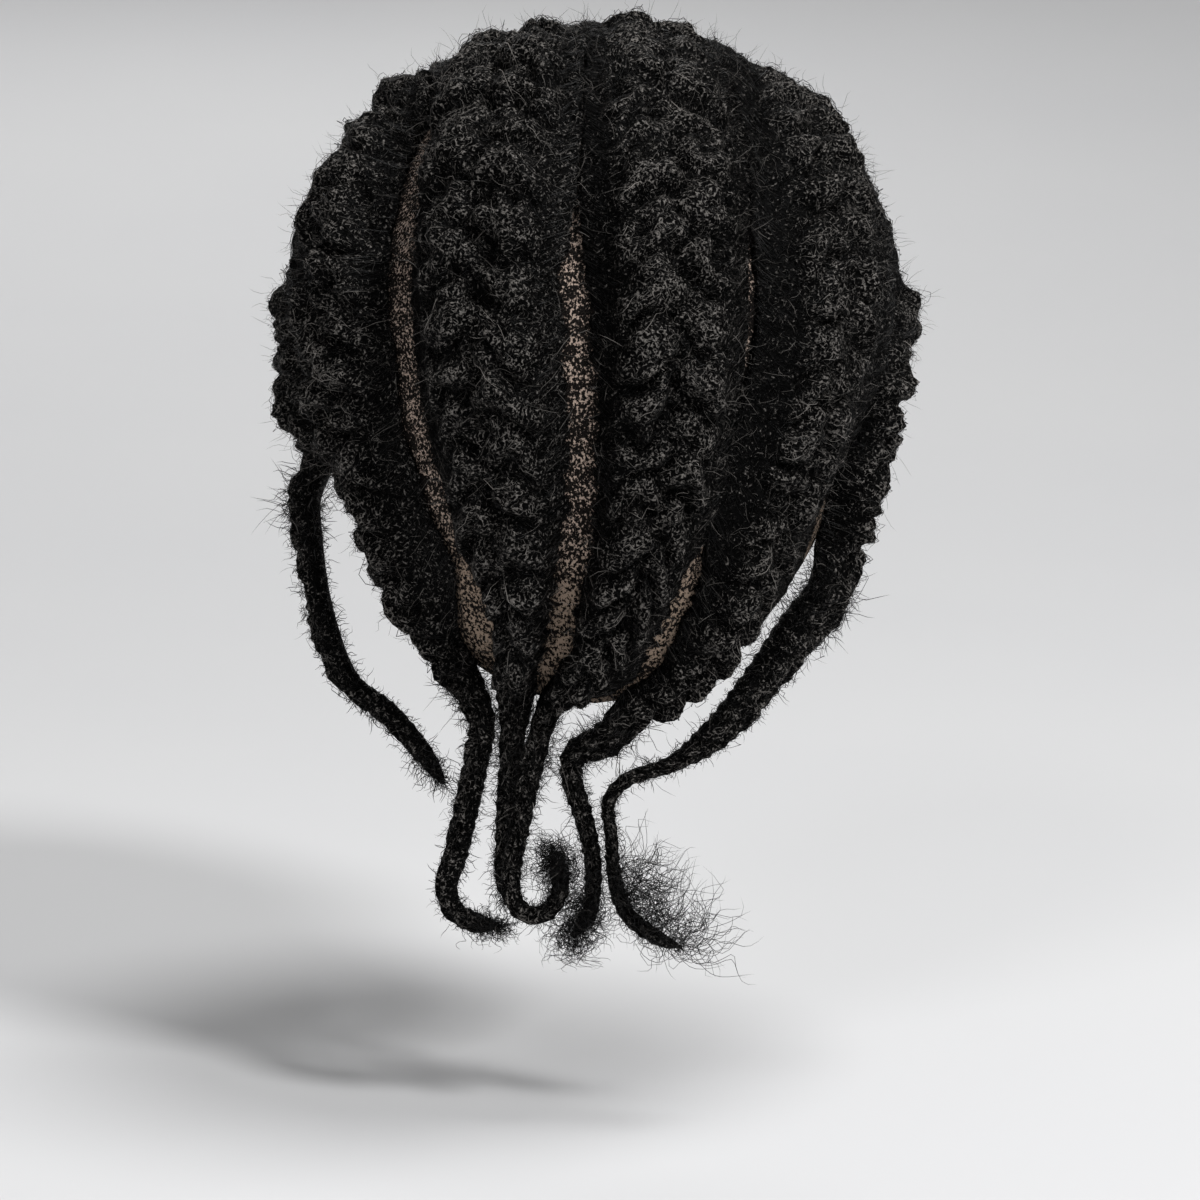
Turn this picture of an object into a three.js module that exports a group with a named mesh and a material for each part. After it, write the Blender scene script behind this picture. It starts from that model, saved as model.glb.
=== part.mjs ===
// Cornrow toupee: a thin lace cap shaped to a head, with six plaits worked along it from the front
// hairline to the nape, each ending in a loose tail.
// Millimetres, +Z up. The wearer faces -Y and the wearer's left is +X.
// The origin is the crown of the head, where the inside of the cap touches it.
import * as THREE from "three";

// Head form that the inside of the cap follows: two half-ellipsoids that meet at the widest level.
const HEAD = { side: 78, front: 94, back: 96, up: 78, down: 132 };
const HEAD_CENTRE = new THREE.Vector3(0, 0, -HEAD.up);

// Lace cap.
const CAP_WALL = 1.0;
const CAP_SECTORS = 40;
const CAP_RINGS = 11;

// Height of the cap's edge below the crown, by bearing round the head from the middle of the front.
const RIM = [
  { bearing: 0, drop: 56 },
  { bearing: 25, drop: 58 },
  { bearing: 50, drop: 72 },
  { bearing: 68, drop: 91 },
  { bearing: 80, drop: 100 },
  { bearing: 95, drop: 101 },
  { bearing: 110, drop: 116 },
  { bearing: 125, drop: 139 },
  { bearing: 142, drop: 161 },
  { bearing: 160, drop: 174 },
  { bearing: 180, drop: 178 },
];

// Partings between the plaits. Sweep runs over the head in degrees, 0 at the front, 90 at the crown, 180 at
// the back and about 235 at the nape. Open is the share of its full width that a parting has there, and the
// rest is each parting's lean, the angle to the side, positive to the wearer's left.
const PARTINGS = [
  { sweep: 0, open: 0.6, leftOuter: 38, left: 17, centre: 0, right: -16, rightOuter: -37 },
  { sweep: 45, open: 0.45, leftOuter: 51, left: 24, centre: 0.5, right: -19, rightOuter: -49 },
  { sweep: 90, open: 0.35, leftOuter: 60, left: 30.5, centre: 1, right: -22, rightOuter: -58 },
  { sweep: 130, open: 0.7, leftOuter: 66, left: 36, centre: 2, right: -26, rightOuter: -64 },
  { sweep: 170, open: 1, leftOuter: 67, left: 37, centre: 3, right: -25.5, rightOuter: -65 },
  { sweep: 195, open: 1, leftOuter: 64, left: 32.5, centre: 2, right: -22.5, rightOuter: -62 },
  { sweep: 212, open: 1, leftOuter: 56, left: 25, centre: 3, right: -17, rightOuter: -55 },
  { sweep: 226, open: 1, leftOuter: 45, left: 15, centre: 5, right: -10.5, rightOuter: -45 },
  { sweep: 240, open: 1, leftOuter: 36, left: 10, centre: 8, right: -4, rightOuter: -36 },
];
// Thickness of the hair at the edges of the three inner and the two outer partings. Over the crown the hair
// closes over them. At the hairline it is thin.
const FILL = [
  { sweep: 0, inner: 1.6, outer: 1.6 },
  { sweep: 45, inner: 8, outer: 8 },
  { sweep: 90, inner: 13, outer: 12 },
  { sweep: 130, inner: 7, outer: 12 },
  { sweep: 170, inner: 1.6, outer: 11 },
  { sweep: 195, inner: 1.6, outer: 6 },
  { sweep: 212, inner: 1.6, outer: 1.6 },
  { sweep: 240, inner: 1.6, outer: 1.6 },
];
const FILL_BESIDE = {
  leftOuter: "outer",
  left: "inner",
  centre: "inner",
  right: "inner",
  rightOuter: "outer",
};
const HAIRLINE_FILL = 1.6;
// Lace left bare on each side of a parting's middle, and between a panel of hair and the edge of the cap.
const PARTING_HALF = { leftOuter: 1.8, left: 2.6, centre: 3.2, right: 1.4, rightOuter: 2.4 };
const RIM_MARGIN = 2;

// Hair. A panel is the flat hair drawn from its partings to the plait that runs along its middle. It rises
// from the partings to the plait's foot, and the plait has two rows of lobes with a groove between them.
const SEAT_GAP = 0.8;
const PANEL_MAX = 28;
const PANEL_STEP = 0.5;
// Across the plait, as shares of its half width, or of the panel where that is narrower.
const LEAST_REACH = 0.6;
const FOOT_SHARE = 0.86;
const LOBE_SHARE = 0.5;
const GROOVE_SWING = 0.12;
// Up from the cap, as shares of the plait's height.
const EDGE_MOST = 0.9;
const FOOT_RISE = 0.58;
const LOBE_LOW = 0.78;
const GROOVE_RISE = 0.74;
// Round section of a free tail, as shares of its height. The keel is its underside.
const TAIL_FOOT = 0.78;
const TAIL_EDGE_TOP = 0.55;
const TAIL_EDGE_BOTTOM = 0.15;
const TAIL_KEEL = [0.08, 0.16, 0.08];
// A panel draws in to the plait over the last stretch before the cap's edge, and the plait then hangs free.
const GATHER = 30;
const RELEASE = { before: 3, past: 12 };
const NECK_AXIS_Y = 10;
// Smallest step in measuring along a plait's path.
const PATH_DIVISIONS = 600;

// Plaits, from the wearer's left to right. Rows with sweep and lean, or with bearing and drop, lie on the
// cap, and rows with x, y and z hang free. Width and height are the plait's own, and stitch is the length of
// one full turn of the plait.
const PLAITS = [
  {
    name: "cornrow_left_outer",
    left: null,
    right: "leftOuter",
    rows: [
      { bearing: 50, drop: 63, width: 7, height: 3, stitch: 9 },
      { bearing: 60, drop: 67, width: 15, height: 8, stitch: 10 },
      { bearing: 74, drop: 70, width: 21, height: 14, stitch: 10 },
      { bearing: 88, drop: 73, width: 23, height: 16, stitch: 10 },
      { bearing: 99, drop: 82, width: 21, height: 15.5, stitch: 10 },
      { bearing: 105, drop: 96, width: 19, height: 15.5, stitch: 10 },
      { x: 81.5, y: 24, z: -117, width: 14, height: 11, stitch: 9 },
      { x: 80.5, y: 28, z: -136, width: 10, height: 8, stitch: 8 },
      { x: 77, y: 33, z: -157, width: 9, height: 7.5, stitch: 8 },
      { x: 69, y: 40, z: -176, width: 7.5, height: 6.5, stitch: 8 },
      { x: 57, y: 48, z: -184.5, width: 7, height: 6, stitch: 8 },
      { x: 47.5, y: 53.5, z: -195, width: 6, height: 5, stitch: 8 },
      { x: 42.8, y: 56.5, z: -203, width: 3.4, height: 3, stitch: 8 },
    ],
  },
  {
    name: "cornrow_left_middle",
    left: "leftOuter",
    right: "left",
    rows: [
      { sweep: 19, lean: 30, width: 8, height: 3, stitch: 10 },
      { sweep: 33, lean: 36, width: 18, height: 8, stitch: 12 },
      { sweep: 60, lean: 40.5, width: 28, height: 14, stitch: 13 },
      { sweep: 100, lean: 45, width: 32, height: 15.5, stitch: 13 },
      { sweep: 150, lean: 51, width: 34, height: 17.5, stitch: 13 },
      { sweep: 184, lean: 50.5, width: 31, height: 17, stitch: 13 },
      { sweep: 207, lean: 45, width: 27, height: 14.5, stitch: 12.5 },
      { sweep: 223, lean: 37.5, width: 22, height: 12, stitch: 12 },
      { sweep: 233, lean: 29, width: 18, height: 11, stitch: 11 },
      { sweep: 237, lean: 21.5, width: 14, height: 9.5, stitch: 10 },
      { x: 30.8, y: 62, z: -183, width: 8, height: 7.5, stitch: 9 },
      { x: 32.4, y: 60.5, z: -195, width: 7.6, height: 6.8, stitch: 8 },
      { x: 35.4, y: 60, z: -210, width: 7.4, height: 6.4, stitch: 8 },
      { x: 38.6, y: 61, z: -224, width: 7, height: 6.2, stitch: 8 },
      { x: 41, y: 63, z: -231.5, width: 6.8, height: 5.8, stitch: 7 },
      { x: 39.2, y: 65, z: -237.8, width: 6.4, height: 5.4, stitch: 6 },
      { x: 33.4, y: 66.5, z: -241, width: 5.8, height: 4.8, stitch: 6 },
      { x: 26.5, y: 67.5, z: -242.4, width: 3.6, height: 3.2, stitch: 6 },
    ],
  },
  {
    name: "cornrow_left_inner",
    left: "left",
    right: "centre",
    rows: [
      { sweep: 16, lean: 8, width: 9, height: 3, stitch: 11 },
      { sweep: 30, lean: 11, width: 20, height: 8, stitch: 13 },
      { sweep: 60, lean: 12.5, width: 29, height: 12, stitch: 14 },
      { sweep: 100, lean: 15.5, width: 35, height: 14, stitch: 14.5 },
      { sweep: 140, lean: 18, width: 36, height: 14, stitch: 14.5 },
      { sweep: 176, lean: 17.5, width: 33, height: 13.5, stitch: 14.5 },
      { sweep: 207, lean: 13.5, width: 26, height: 12.5, stitch: 13 },
      { sweep: 224, lean: 11, width: 20, height: 11, stitch: 12 },
      { sweep: 236, lean: 10.4, width: 13.5, height: 9.5, stitch: 10.5 },
      { x: 22.4, y: 63, z: -188, width: 7.4, height: 8, stitch: 9.5 },
      { x: 22.8, y: 62.5, z: -196, width: 6.8, height: 7, stitch: 9 },
      { x: 24, y: 62.5, z: -210, width: 6.4, height: 6.4, stitch: 9 },
      { x: 24.4, y: 63.5, z: -224.5, width: 6.2, height: 5.8, stitch: 8 },
      { x: 24.6, y: 65, z: -231.5, width: 5.4, height: 5, stitch: 8 },
      { x: 25, y: 66, z: -236, width: 3.8, height: 3.4, stitch: 8 },
    ],
  },
  {
    name: "cornrow_right_inner",
    left: "centre",
    right: "right",
    rows: [
      { sweep: 16, lean: -7, width: 9, height: 3, stitch: 11 },
      { sweep: 30, lean: -8.5, width: 19, height: 8, stitch: 13 },
      { sweep: 60, lean: -9.5, width: 28, height: 12, stitch: 14 },
      { sweep: 100, lean: -11, width: 32, height: 14, stitch: 14.5 },
      { sweep: 140, lean: -12, width: 33, height: 13.5, stitch: 14.5 },
      { sweep: 176, lean: -12, width: 31, height: 13, stitch: 14 },
      { sweep: 200, lean: -9.5, width: 26, height: 12.5, stitch: 13 },
      { sweep: 217, lean: -5, width: 20, height: 11, stitch: 12 },
      { sweep: 230, lean: 1.4, width: 14.4, height: 10, stitch: 10.5 },
      { x: 14.2, y: 66.3, z: -187, width: 7.2, height: 8, stitch: 9.5 },
      { x: 17.2, y: 68.4, z: -196, width: 6.8, height: 6.8, stitch: 9 },
      { x: 20, y: 70.2, z: -210, width: 6, height: 6, stitch: 9 },
      { x: 22.8, y: 72.2, z: -224.5, width: 5.6, height: 5.2, stitch: 8 },
      { x: 22.6, y: 73, z: -232.5, width: 5.4, height: 4.8, stitch: 6 },
      { x: 18.8, y: 73, z: -237.2, width: 5.4, height: 4.8, stitch: 6 },
      { x: 13.4, y: 72.5, z: -236.8, width: 5.2, height: 4.8, stitch: 6 },
      { x: 9.8, y: 72, z: -231.5, width: 5, height: 4.6, stitch: 6 },
      { x: 9.8, y: 72, z: -225, width: 4.6, height: 4.2, stitch: 6 },
      { x: 12.6, y: 72.5, z: -220, width: 2.6, height: 2.4, stitch: 6 },
    ],
  },
  {
    name: "cornrow_right_middle",
    left: "right",
    right: "rightOuter",
    rows: [
      { sweep: 19, lean: -29, width: 8, height: 3, stitch: 10 },
      { sweep: 33, lean: -34, width: 17, height: 8, stitch: 12 },
      { sweep: 60, lean: -36, width: 28, height: 15, stitch: 13 },
      { sweep: 100, lean: -40, width: 32, height: 16, stitch: 13 },
      { sweep: 150, lean: -44.5, width: 33, height: 16.5, stitch: 13 },
      { sweep: 180, lean: -43.5, width: 29, height: 15.5, stitch: 13 },
      { sweep: 200, lean: -37.5, width: 27, height: 14, stitch: 12.5 },
      { sweep: 215, lean: -28.5, width: 22, height: 12.5, stitch: 12 },
      { sweep: 228, lean: -19, width: 18, height: 12, stitch: 11 },
      { sweep: 236, lean: -10, width: 15, height: 10, stitch: 10 },
      { x: -3.5, y: 66, z: -188, width: 10.5, height: 8.5, stitch: 8.5 },
      { x: 5.2, y: 64.5, z: -192.5, width: 7.5, height: 6.5, stitch: 7 },
      { x: 6.4, y: 63.5, z: -199, width: 6.2, height: 6, stitch: 8 },
      { x: 3.4, y: 63, z: -210, width: 5.6, height: 5.2, stitch: 8 },
      { x: 0.9, y: 63.5, z: -221, width: 5, height: 4.8, stitch: 8 },
      { x: 0.4, y: 65.5, z: -231, width: 4.8, height: 4.6, stitch: 8 },
      { x: 2.2, y: 67, z: -240, width: 4, height: 3.6, stitch: 8 },
      { x: 7, y: 68, z: -245.5, width: 2.4, height: 2.2, stitch: 8 },
    ],
  },
  {
    name: "cornrow_right_outer",
    left: "rightOuter",
    right: null,
    rows: [
      { bearing: -49, drop: 62, width: 7, height: 3, stitch: 9 },
      { bearing: -60, drop: 66, width: 15, height: 8, stitch: 10 },
      { bearing: -74, drop: 69, width: 21, height: 14, stitch: 10 },
      { bearing: -90, drop: 72, width: 23, height: 15.5, stitch: 10 },
      { bearing: -103, drop: 82, width: 23, height: 16, stitch: 10 },
      { bearing: -112, drop: 99, width: 22, height: 16, stitch: 10 },
      { bearing: -117, drop: 118, width: 20, height: 15.5, stitch: 10 },
      { x: -70, y: 36, z: -140, width: 16, height: 13, stitch: 10 },
      { x: -55, y: 43, z: -160, width: 14, height: 11.5, stitch: 9.5 },
      { x: -43, y: 50, z: -177, width: 12, height: 9.5, stitch: 9 },
      { x: -32.5, y: 55, z: -189, width: 9.5, height: 7.5, stitch: 8 },
      { x: -21.5, y: 59, z: -196.5, width: 4.8, height: 4.8, stitch: 8 },
      { x: -8.5, y: 62, z: -201, width: 4.2, height: 4.2, stitch: 8 },
      { x: -3.9, y: 62, z: -207, width: 4, height: 4, stitch: 8 },
      { x: -4.6, y: 62.5, z: -217, width: 3.8, height: 3.8, stitch: 8 },
      { x: -5.4, y: 64, z: -228, width: 4.2, height: 4, stitch: 8 },
      { x: -8.5, y: 66, z: -238, width: 4.6, height: 4.2, stitch: 8 },
      { x: -16, y: 68, z: -244.5, width: 4.6, height: 4, stitch: 8 },
      { x: -25, y: 69, z: -248.5, width: 2.4, height: 2.2, stitch: 8 },
    ],
  },
];

const LACE = { color: 0x786450, roughness: 0.9, metalness: 0 };
const HAIR = { color: 0x14110f, roughness: 0.5, metalness: 0 };

// Smooth function through the rows of a table: gives every column but the key as an object.
function smoothTable(rows, key) {
  const columns = Object.keys(rows[0]).filter((column) => column !== key);
  const places = rows.map((row) => row[key]);
  const values = rows.flatMap((row) => columns.map((column) => row[column]));
  const curve = new THREE.CubicInterpolant(places, values, columns.length);
  return (place) => {
    const clamped = THREE.MathUtils.clamp(place, places[0], places[places.length - 1]);
    const found = curve.evaluate(clamped);
    return Object.fromEntries(columns.map((column, index) => [column, found[index]]));
  };
}

const rimAt = smoothTable(RIM, "bearing");
const partingsAt = smoothTable(PARTINGS, "sweep");
const fillAt = smoothTable(FILL, "sweep");

// Half axes of the head form on the side that an offset from its centre points to.
function headAxes(offset) {
  const deep = offset.y < 0 ? HEAD.front : HEAD.back;
  const tall = offset.z > 0 ? HEAD.up : HEAD.down;
  return new THREE.Vector3(HEAD.side, deep, tall);
}

// Point of the head form that lies the same way from its centre as a given point.
function onHead(point) {
  const offset = point.clone().sub(HEAD_CENTRE);
  const reach = 1 / offset.clone().divide(headAxes(offset)).length();
  return offset.multiplyScalar(reach).add(HEAD_CENTRE);
}

function headNormal(point) {
  const offset = point.clone().sub(HEAD_CENTRE);
  const axes = headAxes(offset);
  return offset.divide(axes).divide(axes).normalize();
}

function lifted(point, height) {
  return point.clone().addScaledVector(headNormal(point), height);
}

function atSweepAndLean(sweep, lean) {
  const over = THREE.MathUtils.degToRad(sweep);
  const aside = THREE.MathUtils.degToRad(lean);
  const flat = Math.cos(aside);
  const way = new THREE.Vector3(Math.sin(aside), -flat * Math.cos(over), flat * Math.sin(over));
  return onHead(way.add(HEAD_CENTRE));
}

// Turn down from the crown, in radians, at which the head form lies a given drop below it.
function turnAtDrop(drop) {
  const above = HEAD.up - drop;
  return Math.acos(above / (above > 0 ? HEAD.up : HEAD.down));
}

function atBearingAndTurn(bearing, turn) {
  const round = THREE.MathUtils.degToRad(bearing);
  const aside = new THREE.Vector3(Math.sin(round), -Math.cos(round), 0);
  const wide = 1 / aside.clone().divide(headAxes(aside)).length();
  const tall = Math.cos(turn) > 0 ? HEAD.up : HEAD.down;
  return aside.multiplyScalar(wide * Math.sin(turn)).setZ(tall * Math.cos(turn) - HEAD.up);
}

function sweepAndLean(point) {
  const offset = point.clone().sub(HEAD_CENTRE).normalize();
  const over = THREE.MathUtils.radToDeg(Math.atan2(offset.z, -offset.y));
  const sweep = over < -90 ? over + 360 : over;
  return { sweep, lean: THREE.MathUtils.radToDeg(Math.asin(offset.x)) };
}

function heightOverRim(point) {
  const bearing = THREE.MathUtils.radToDeg(Math.atan2(Math.abs(point.x), -point.y));
  return point.z + rimAt(bearing).drop;
}

// Closed body through rings of points, each end drawn together to a tip.
function loft(rings, startTip, endTip) {
  const count = rings[0].length;
  const points = [...rings.flat(), startTip, endTip];
  const start = points.length - 2;
  const end = points.length - 1;
  const last = (rings.length - 1) * count;
  const faces = [];
  for (let side = 0; side < count; side += 1) {
    const next = (side + 1) % count;
    faces.push(start, next, side);
    faces.push(end, last + side, last + next);
    for (let base = 0; base < last; base += count) {
      faces.push(base + side, base + next, base + count + next);
      faces.push(base + side, base + count + next, base + count + side);
    }
  }
  const body = new THREE.BufferGeometry().setFromPoints(points);
  body.setIndex(faces);
  body.computeVertexNormals();
  return body;
}

// Lace cap: down the inside from the crown to the edge, round the edge, and up the outside.
function capGeometry() {
  const ringAt = (share, height) => {
    const ring = [];
    for (let sector = 0; sector < CAP_SECTORS; sector += 1) {
      const bearing = (sector / CAP_SECTORS) * 360 - 180;
      const turn = share * turnAtDrop(rimAt(Math.abs(bearing)).drop);
      ring.push(lifted(atBearingAndTurn(bearing, turn), height));
    }
    return ring;
  };
  const shares = Array.from({ length: CAP_RINGS }, (_, index) => (index + 1) / CAP_RINGS);
  const inside = shares.map((share) => ringAt(share, 0));
  const outside = shares.toReversed().map((share) => ringAt(share, CAP_WALL));
  const crown = new THREE.Vector3();
  return loft([...inside, ...outside], crown, new THREE.Vector3(0, 0, CAP_WALL));
}

// Path of a plait's underside from hairline to tail tip, with its sizes at any place along it.
function plaitPath(plait) {
  const seat = CAP_WALL + SEAT_GAP;
  const points = plait.rows.map((row) => {
    if (row.x !== undefined) {
      return new THREE.Vector3(row.x, row.y, row.z);
    }
    if (row.bearing !== undefined) {
      return lifted(atBearingAndTurn(row.bearing, turnAtDrop(row.drop)), seat);
    }
    return lifted(atSweepAndLean(row.sweep, row.lean), seat);
  });
  const curve = new THREE.CatmullRomCurve3(points, false, "centripetal");
  curve.arcLengthDivisions = PATH_DIVISIONS;
  const length = curve.getLength();
  const rows = plait.rows.map(({ width, height, stitch }, place) => ({ place, width, height, stitch }));
  const sizes = smoothTable(rows, "place");
  const at = (distance) => {
    const t = curve.getUtoTmapping(distance / length);
    const place = t * (points.length - 1);
    return { point: curve.getPoint(t), along: curve.getTangent(t), ...sizes(place) };
  };
  return { at, length };
}

// How far a panel's flat hair reaches to one side: to a parting, to the edge of the cap, or no further than
// its greatest width.
function panelReach(foot, across, side, plait) {
  const inside = (width) => {
    const point = onHead(foot.clone().addScaledVector(across, side * width));
    const { sweep, lean } = sweepAndLean(point);
    const partings = partingsAt(sweep);
    const span = point.distanceTo(HEAD_CENTRE);
    const bare = (name) => THREE.MathUtils.radToDeg((partings.open * PARTING_HALF[name]) / span);
    const clearLeft = plait.left === null || lean < partings[plait.left] - bare(plait.left);
    const clearRight = plait.right === null || lean > partings[plait.right] + bare(plait.right);
    return clearLeft && clearRight && heightOverRim(point) > RIM_MARGIN;
  };
  let reach = 0;
  while (reach + PANEL_STEP < PANEL_MAX && inside(reach + PANEL_STEP)) {
    reach += PANEL_STEP;
  }
  return reach;
}

// One ring of a plait: across the top from its +1 side to its -1 side, then back along the underside.
function plaitRing(station, turn, gathered, free, plait) {
  const { point, along, width, height } = station;
  const foot = onHead(point);
  const away = new THREE.Vector3(point.x, point.y - NECK_AXIS_Y, 0).normalize();
  const out = headNormal(foot).lerp(away, free);
  out.addScaledVector(along, -out.dot(along)).normalize();
  const across = new THREE.Vector3().crossVectors(out, along);
  const half = width / 2;
  const reaches = [1, -1].map((side) => {
    const panel = gathered < 1 ? panelReach(foot, across, side, plait) : half;
    return THREE.MathUtils.lerp(Math.max(panel, half * LEAST_REACH), half, gathered);
  });
  const place = (offset, rise) => {
    const seat = CAP_WALL + SEAT_GAP + rise;
    const onCap = lifted(onHead(foot.clone().addScaledVector(across, offset)), seat);
    const hanging = point.clone().addScaledVector(across, offset).addScaledVector(out, rise);
    return onCap.lerp(hanging, free);
  };
  const blend = (seated, hanging) => THREE.MathUtils.lerp(seated, hanging * height, free);
  const core = [Math.min(half, reaches[0] * FOOT_SHARE), Math.min(half, reaches[1] * FOOT_SHARE)];
  const lobes = turn % 2 === 0 ? [1, LOBE_LOW] : [LOBE_LOW, 1];
  const swing = turn % 2 === 0 ? -GROOVE_SWING : GROOVE_SWING;
  const rise = height * FOOT_RISE;
  const fills = fillAt(sweepAndLean(foot).sweep);
  const edgeAt = (parting) => {
    const fill = parting === null ? HAIRLINE_FILL : fills[FILL_BESIDE[parting]];
    return blend(Math.min(fill, height * EDGE_MOST), TAIL_EDGE_TOP);
  };
  const top = [
    place(reaches[0], edgeAt(plait.right)),
    place(core[0], blend(rise, TAIL_FOOT * lobes[0])),
    place(core[0] * LOBE_SHARE, height * lobes[0]),
    place(half * swing, height * GROOVE_RISE),
    place(-core[1] * LOBE_SHARE, height * lobes[1]),
    place(-core[1], blend(rise, TAIL_FOOT * lobes[1])),
    place(-reaches[1], edgeAt(plait.left)),
  ];
  const keel = TAIL_KEEL.map((depth) => blend(0, -depth));
  const under = [
    place(-reaches[1], blend(0, TAIL_EDGE_BOTTOM)),
    place(-reaches[1] / 2, keel[0]),
    place(0, keel[1]),
    place(reaches[0] / 2, keel[2]),
    place(reaches[0], blend(0, TAIL_EDGE_BOTTOM)),
  ];
  return [...top, ...under];
}

// A plait as one body, with a ring at every half stitch, where its lobes rise on alternate sides.
function plaitGeometry(plait) {
  const { at, length } = plaitPath(plait);
  let edge = length / 2;
  while (heightOverRim(onHead(at(edge).point)) > 0) {
    edge += 1;
  }
  const rings = [];
  let distance = 0;
  while (distance < length) {
    const station = at(distance);
    const free = THREE.MathUtils.smoothstep(distance, edge - RELEASE.before, edge + RELEASE.past);
    const gathered = THREE.MathUtils.smoothstep(distance, edge - GATHER, edge + RELEASE.past);
    rings.push(plaitRing(station, rings.length, gathered, free, plait));
    distance += station.stitch / 2;
  }
  const middle = (ring) =>
    ring.reduce((sum, point) => sum.add(point), new THREE.Vector3()).divideScalar(ring.length);
  return loft(rings, middle(rings[0]), at(length).point);
}

function named(name, geometry, finish) {
  const mesh = new THREE.Mesh(geometry, new THREE.MeshStandardMaterial(finish));
  mesh.name = name;
  return mesh;
}

const toupee = new THREE.Group();
toupee.add(named("lace_cap", capGeometry(), LACE));
for (const plait of PLAITS) {
  toupee.add(named(plait.name, plaitGeometry(plait), HAIR));
}

export default toupee;
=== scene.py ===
"""Looks of a cornrow toupee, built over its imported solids.

A lace cap carries six cornrows. Each cornrow is a plait with two rows of lobes, worked over a panel of
flat hair that is drawn to it from the partings, and it ends in a loose tail. The tables give lengths in
millimetres and angles in degrees, and the meshes are made in metres.
"""

import logging
import math
from dataclasses import dataclass, field
from enum import Enum
from typing import Sequence

import bmesh
import bpy
import numpy as np
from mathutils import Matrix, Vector


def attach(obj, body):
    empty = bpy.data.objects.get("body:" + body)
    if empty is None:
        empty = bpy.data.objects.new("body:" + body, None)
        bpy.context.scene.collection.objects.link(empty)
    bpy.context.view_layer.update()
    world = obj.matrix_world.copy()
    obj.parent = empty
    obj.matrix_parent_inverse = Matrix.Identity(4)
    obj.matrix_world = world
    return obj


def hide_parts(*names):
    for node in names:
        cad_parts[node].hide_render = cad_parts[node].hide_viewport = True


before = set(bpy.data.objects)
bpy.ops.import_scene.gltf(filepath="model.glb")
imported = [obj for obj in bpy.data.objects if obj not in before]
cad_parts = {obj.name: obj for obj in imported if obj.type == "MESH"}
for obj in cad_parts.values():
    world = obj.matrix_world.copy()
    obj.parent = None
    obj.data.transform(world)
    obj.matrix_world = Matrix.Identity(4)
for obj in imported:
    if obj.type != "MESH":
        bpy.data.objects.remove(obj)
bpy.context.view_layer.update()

MM = 0.001
BODY = "root"
Array = np.ndarray
Colour = tuple[float, float, float, float]
log = logging.getLogger("toupee")


def unit(vectors: Array) -> Array:
    """Vectors scaled to a length of one."""
    return vectors / np.maximum(np.linalg.norm(vectors, axis=-1, keepdims=True), 1e-9)


def mixed(first: Array | float, second: Array | float, share: Array | float) -> Array:
    """Mix of two values, all of the second at a share of one."""
    return first + (second - first) * share


def eased(value: Array, start: float, end: float) -> Array:
    """Smooth step from 0 at start to 1 at end."""
    share = np.clip((value - start) / (end - start), 0.0, 1.0)
    return share * share * (3.0 - 2.0 * share)


class Lumps:
    """Seeded soft lumps over a flat map: a sum of waves that is mostly within one of nought."""

    def __init__(self, seed: int, size: float, waves: int = 12) -> None:
        """Takes a seed, the size of the lumps and the number of waves."""
        chance = np.random.default_rng(seed)
        turn = chance.uniform(0, 2 * math.pi, waves)
        rate = 2 * math.pi / (size * chance.uniform(0.7, 1.8, waves))
        self.rates = np.stack([np.cos(turn), np.sin(turn)]) * rate
        self.starts = chance.uniform(0, 2 * math.pi, waves)

    def at(self, along: Array, aside: Array) -> Array:
        """Height of the lumps at given places."""
        turns = along[..., None] * self.rates[0] + aside[..., None] * self.rates[1] + self.starts
        return np.sin(turns).sum(axis=-1) * math.sqrt(2 / len(self.starts))


class SmoothTable:
    """Smooth curves through the rows of a table, one for each column after the first."""

    def __init__(self, rows: Sequence[Sequence[float]]) -> None:
        """Takes the rows in rising order of their first column."""
        table = np.array(rows, float)
        self.places = table[:, 0]
        self.values = table[:, 1:]
        gaps = np.diff(self.places)[:, None]
        rates = np.diff(self.values, axis=0) / gaps
        inner = (rates[1:] * gaps[:-1] + rates[:-1] * gaps[1:]) / (gaps[1:] + gaps[:-1])
        self.slopes = np.vstack([rates[:1], inner, rates[-1:]])

    def at(self, place: Array) -> Array:
        """Reads every column at once.

        Args:
            place: Values of the first column, of any shape.

        Returns:
            The other columns, in a last axis added to that shape.
        """
        held = np.clip(place, self.places[0], self.places[-1])
        index = np.clip(np.searchsorted(self.places, held, side="right") - 1, 0, len(self.places) - 2)
        gap = (self.places[index + 1] - self.places[index])[..., None]
        t = (held - self.places[index])[..., None] / gap
        start, end = self.values[index], self.values[index + 1]
        leave, arrive = self.slopes[index] * gap, self.slopes[index + 1] * gap
        bend = 3 * (end - start) - 2 * leave - arrive
        twist = 2 * (start - end) + leave + arrive
        return start + t * (leave + t * (bend + t * twist))


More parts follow.
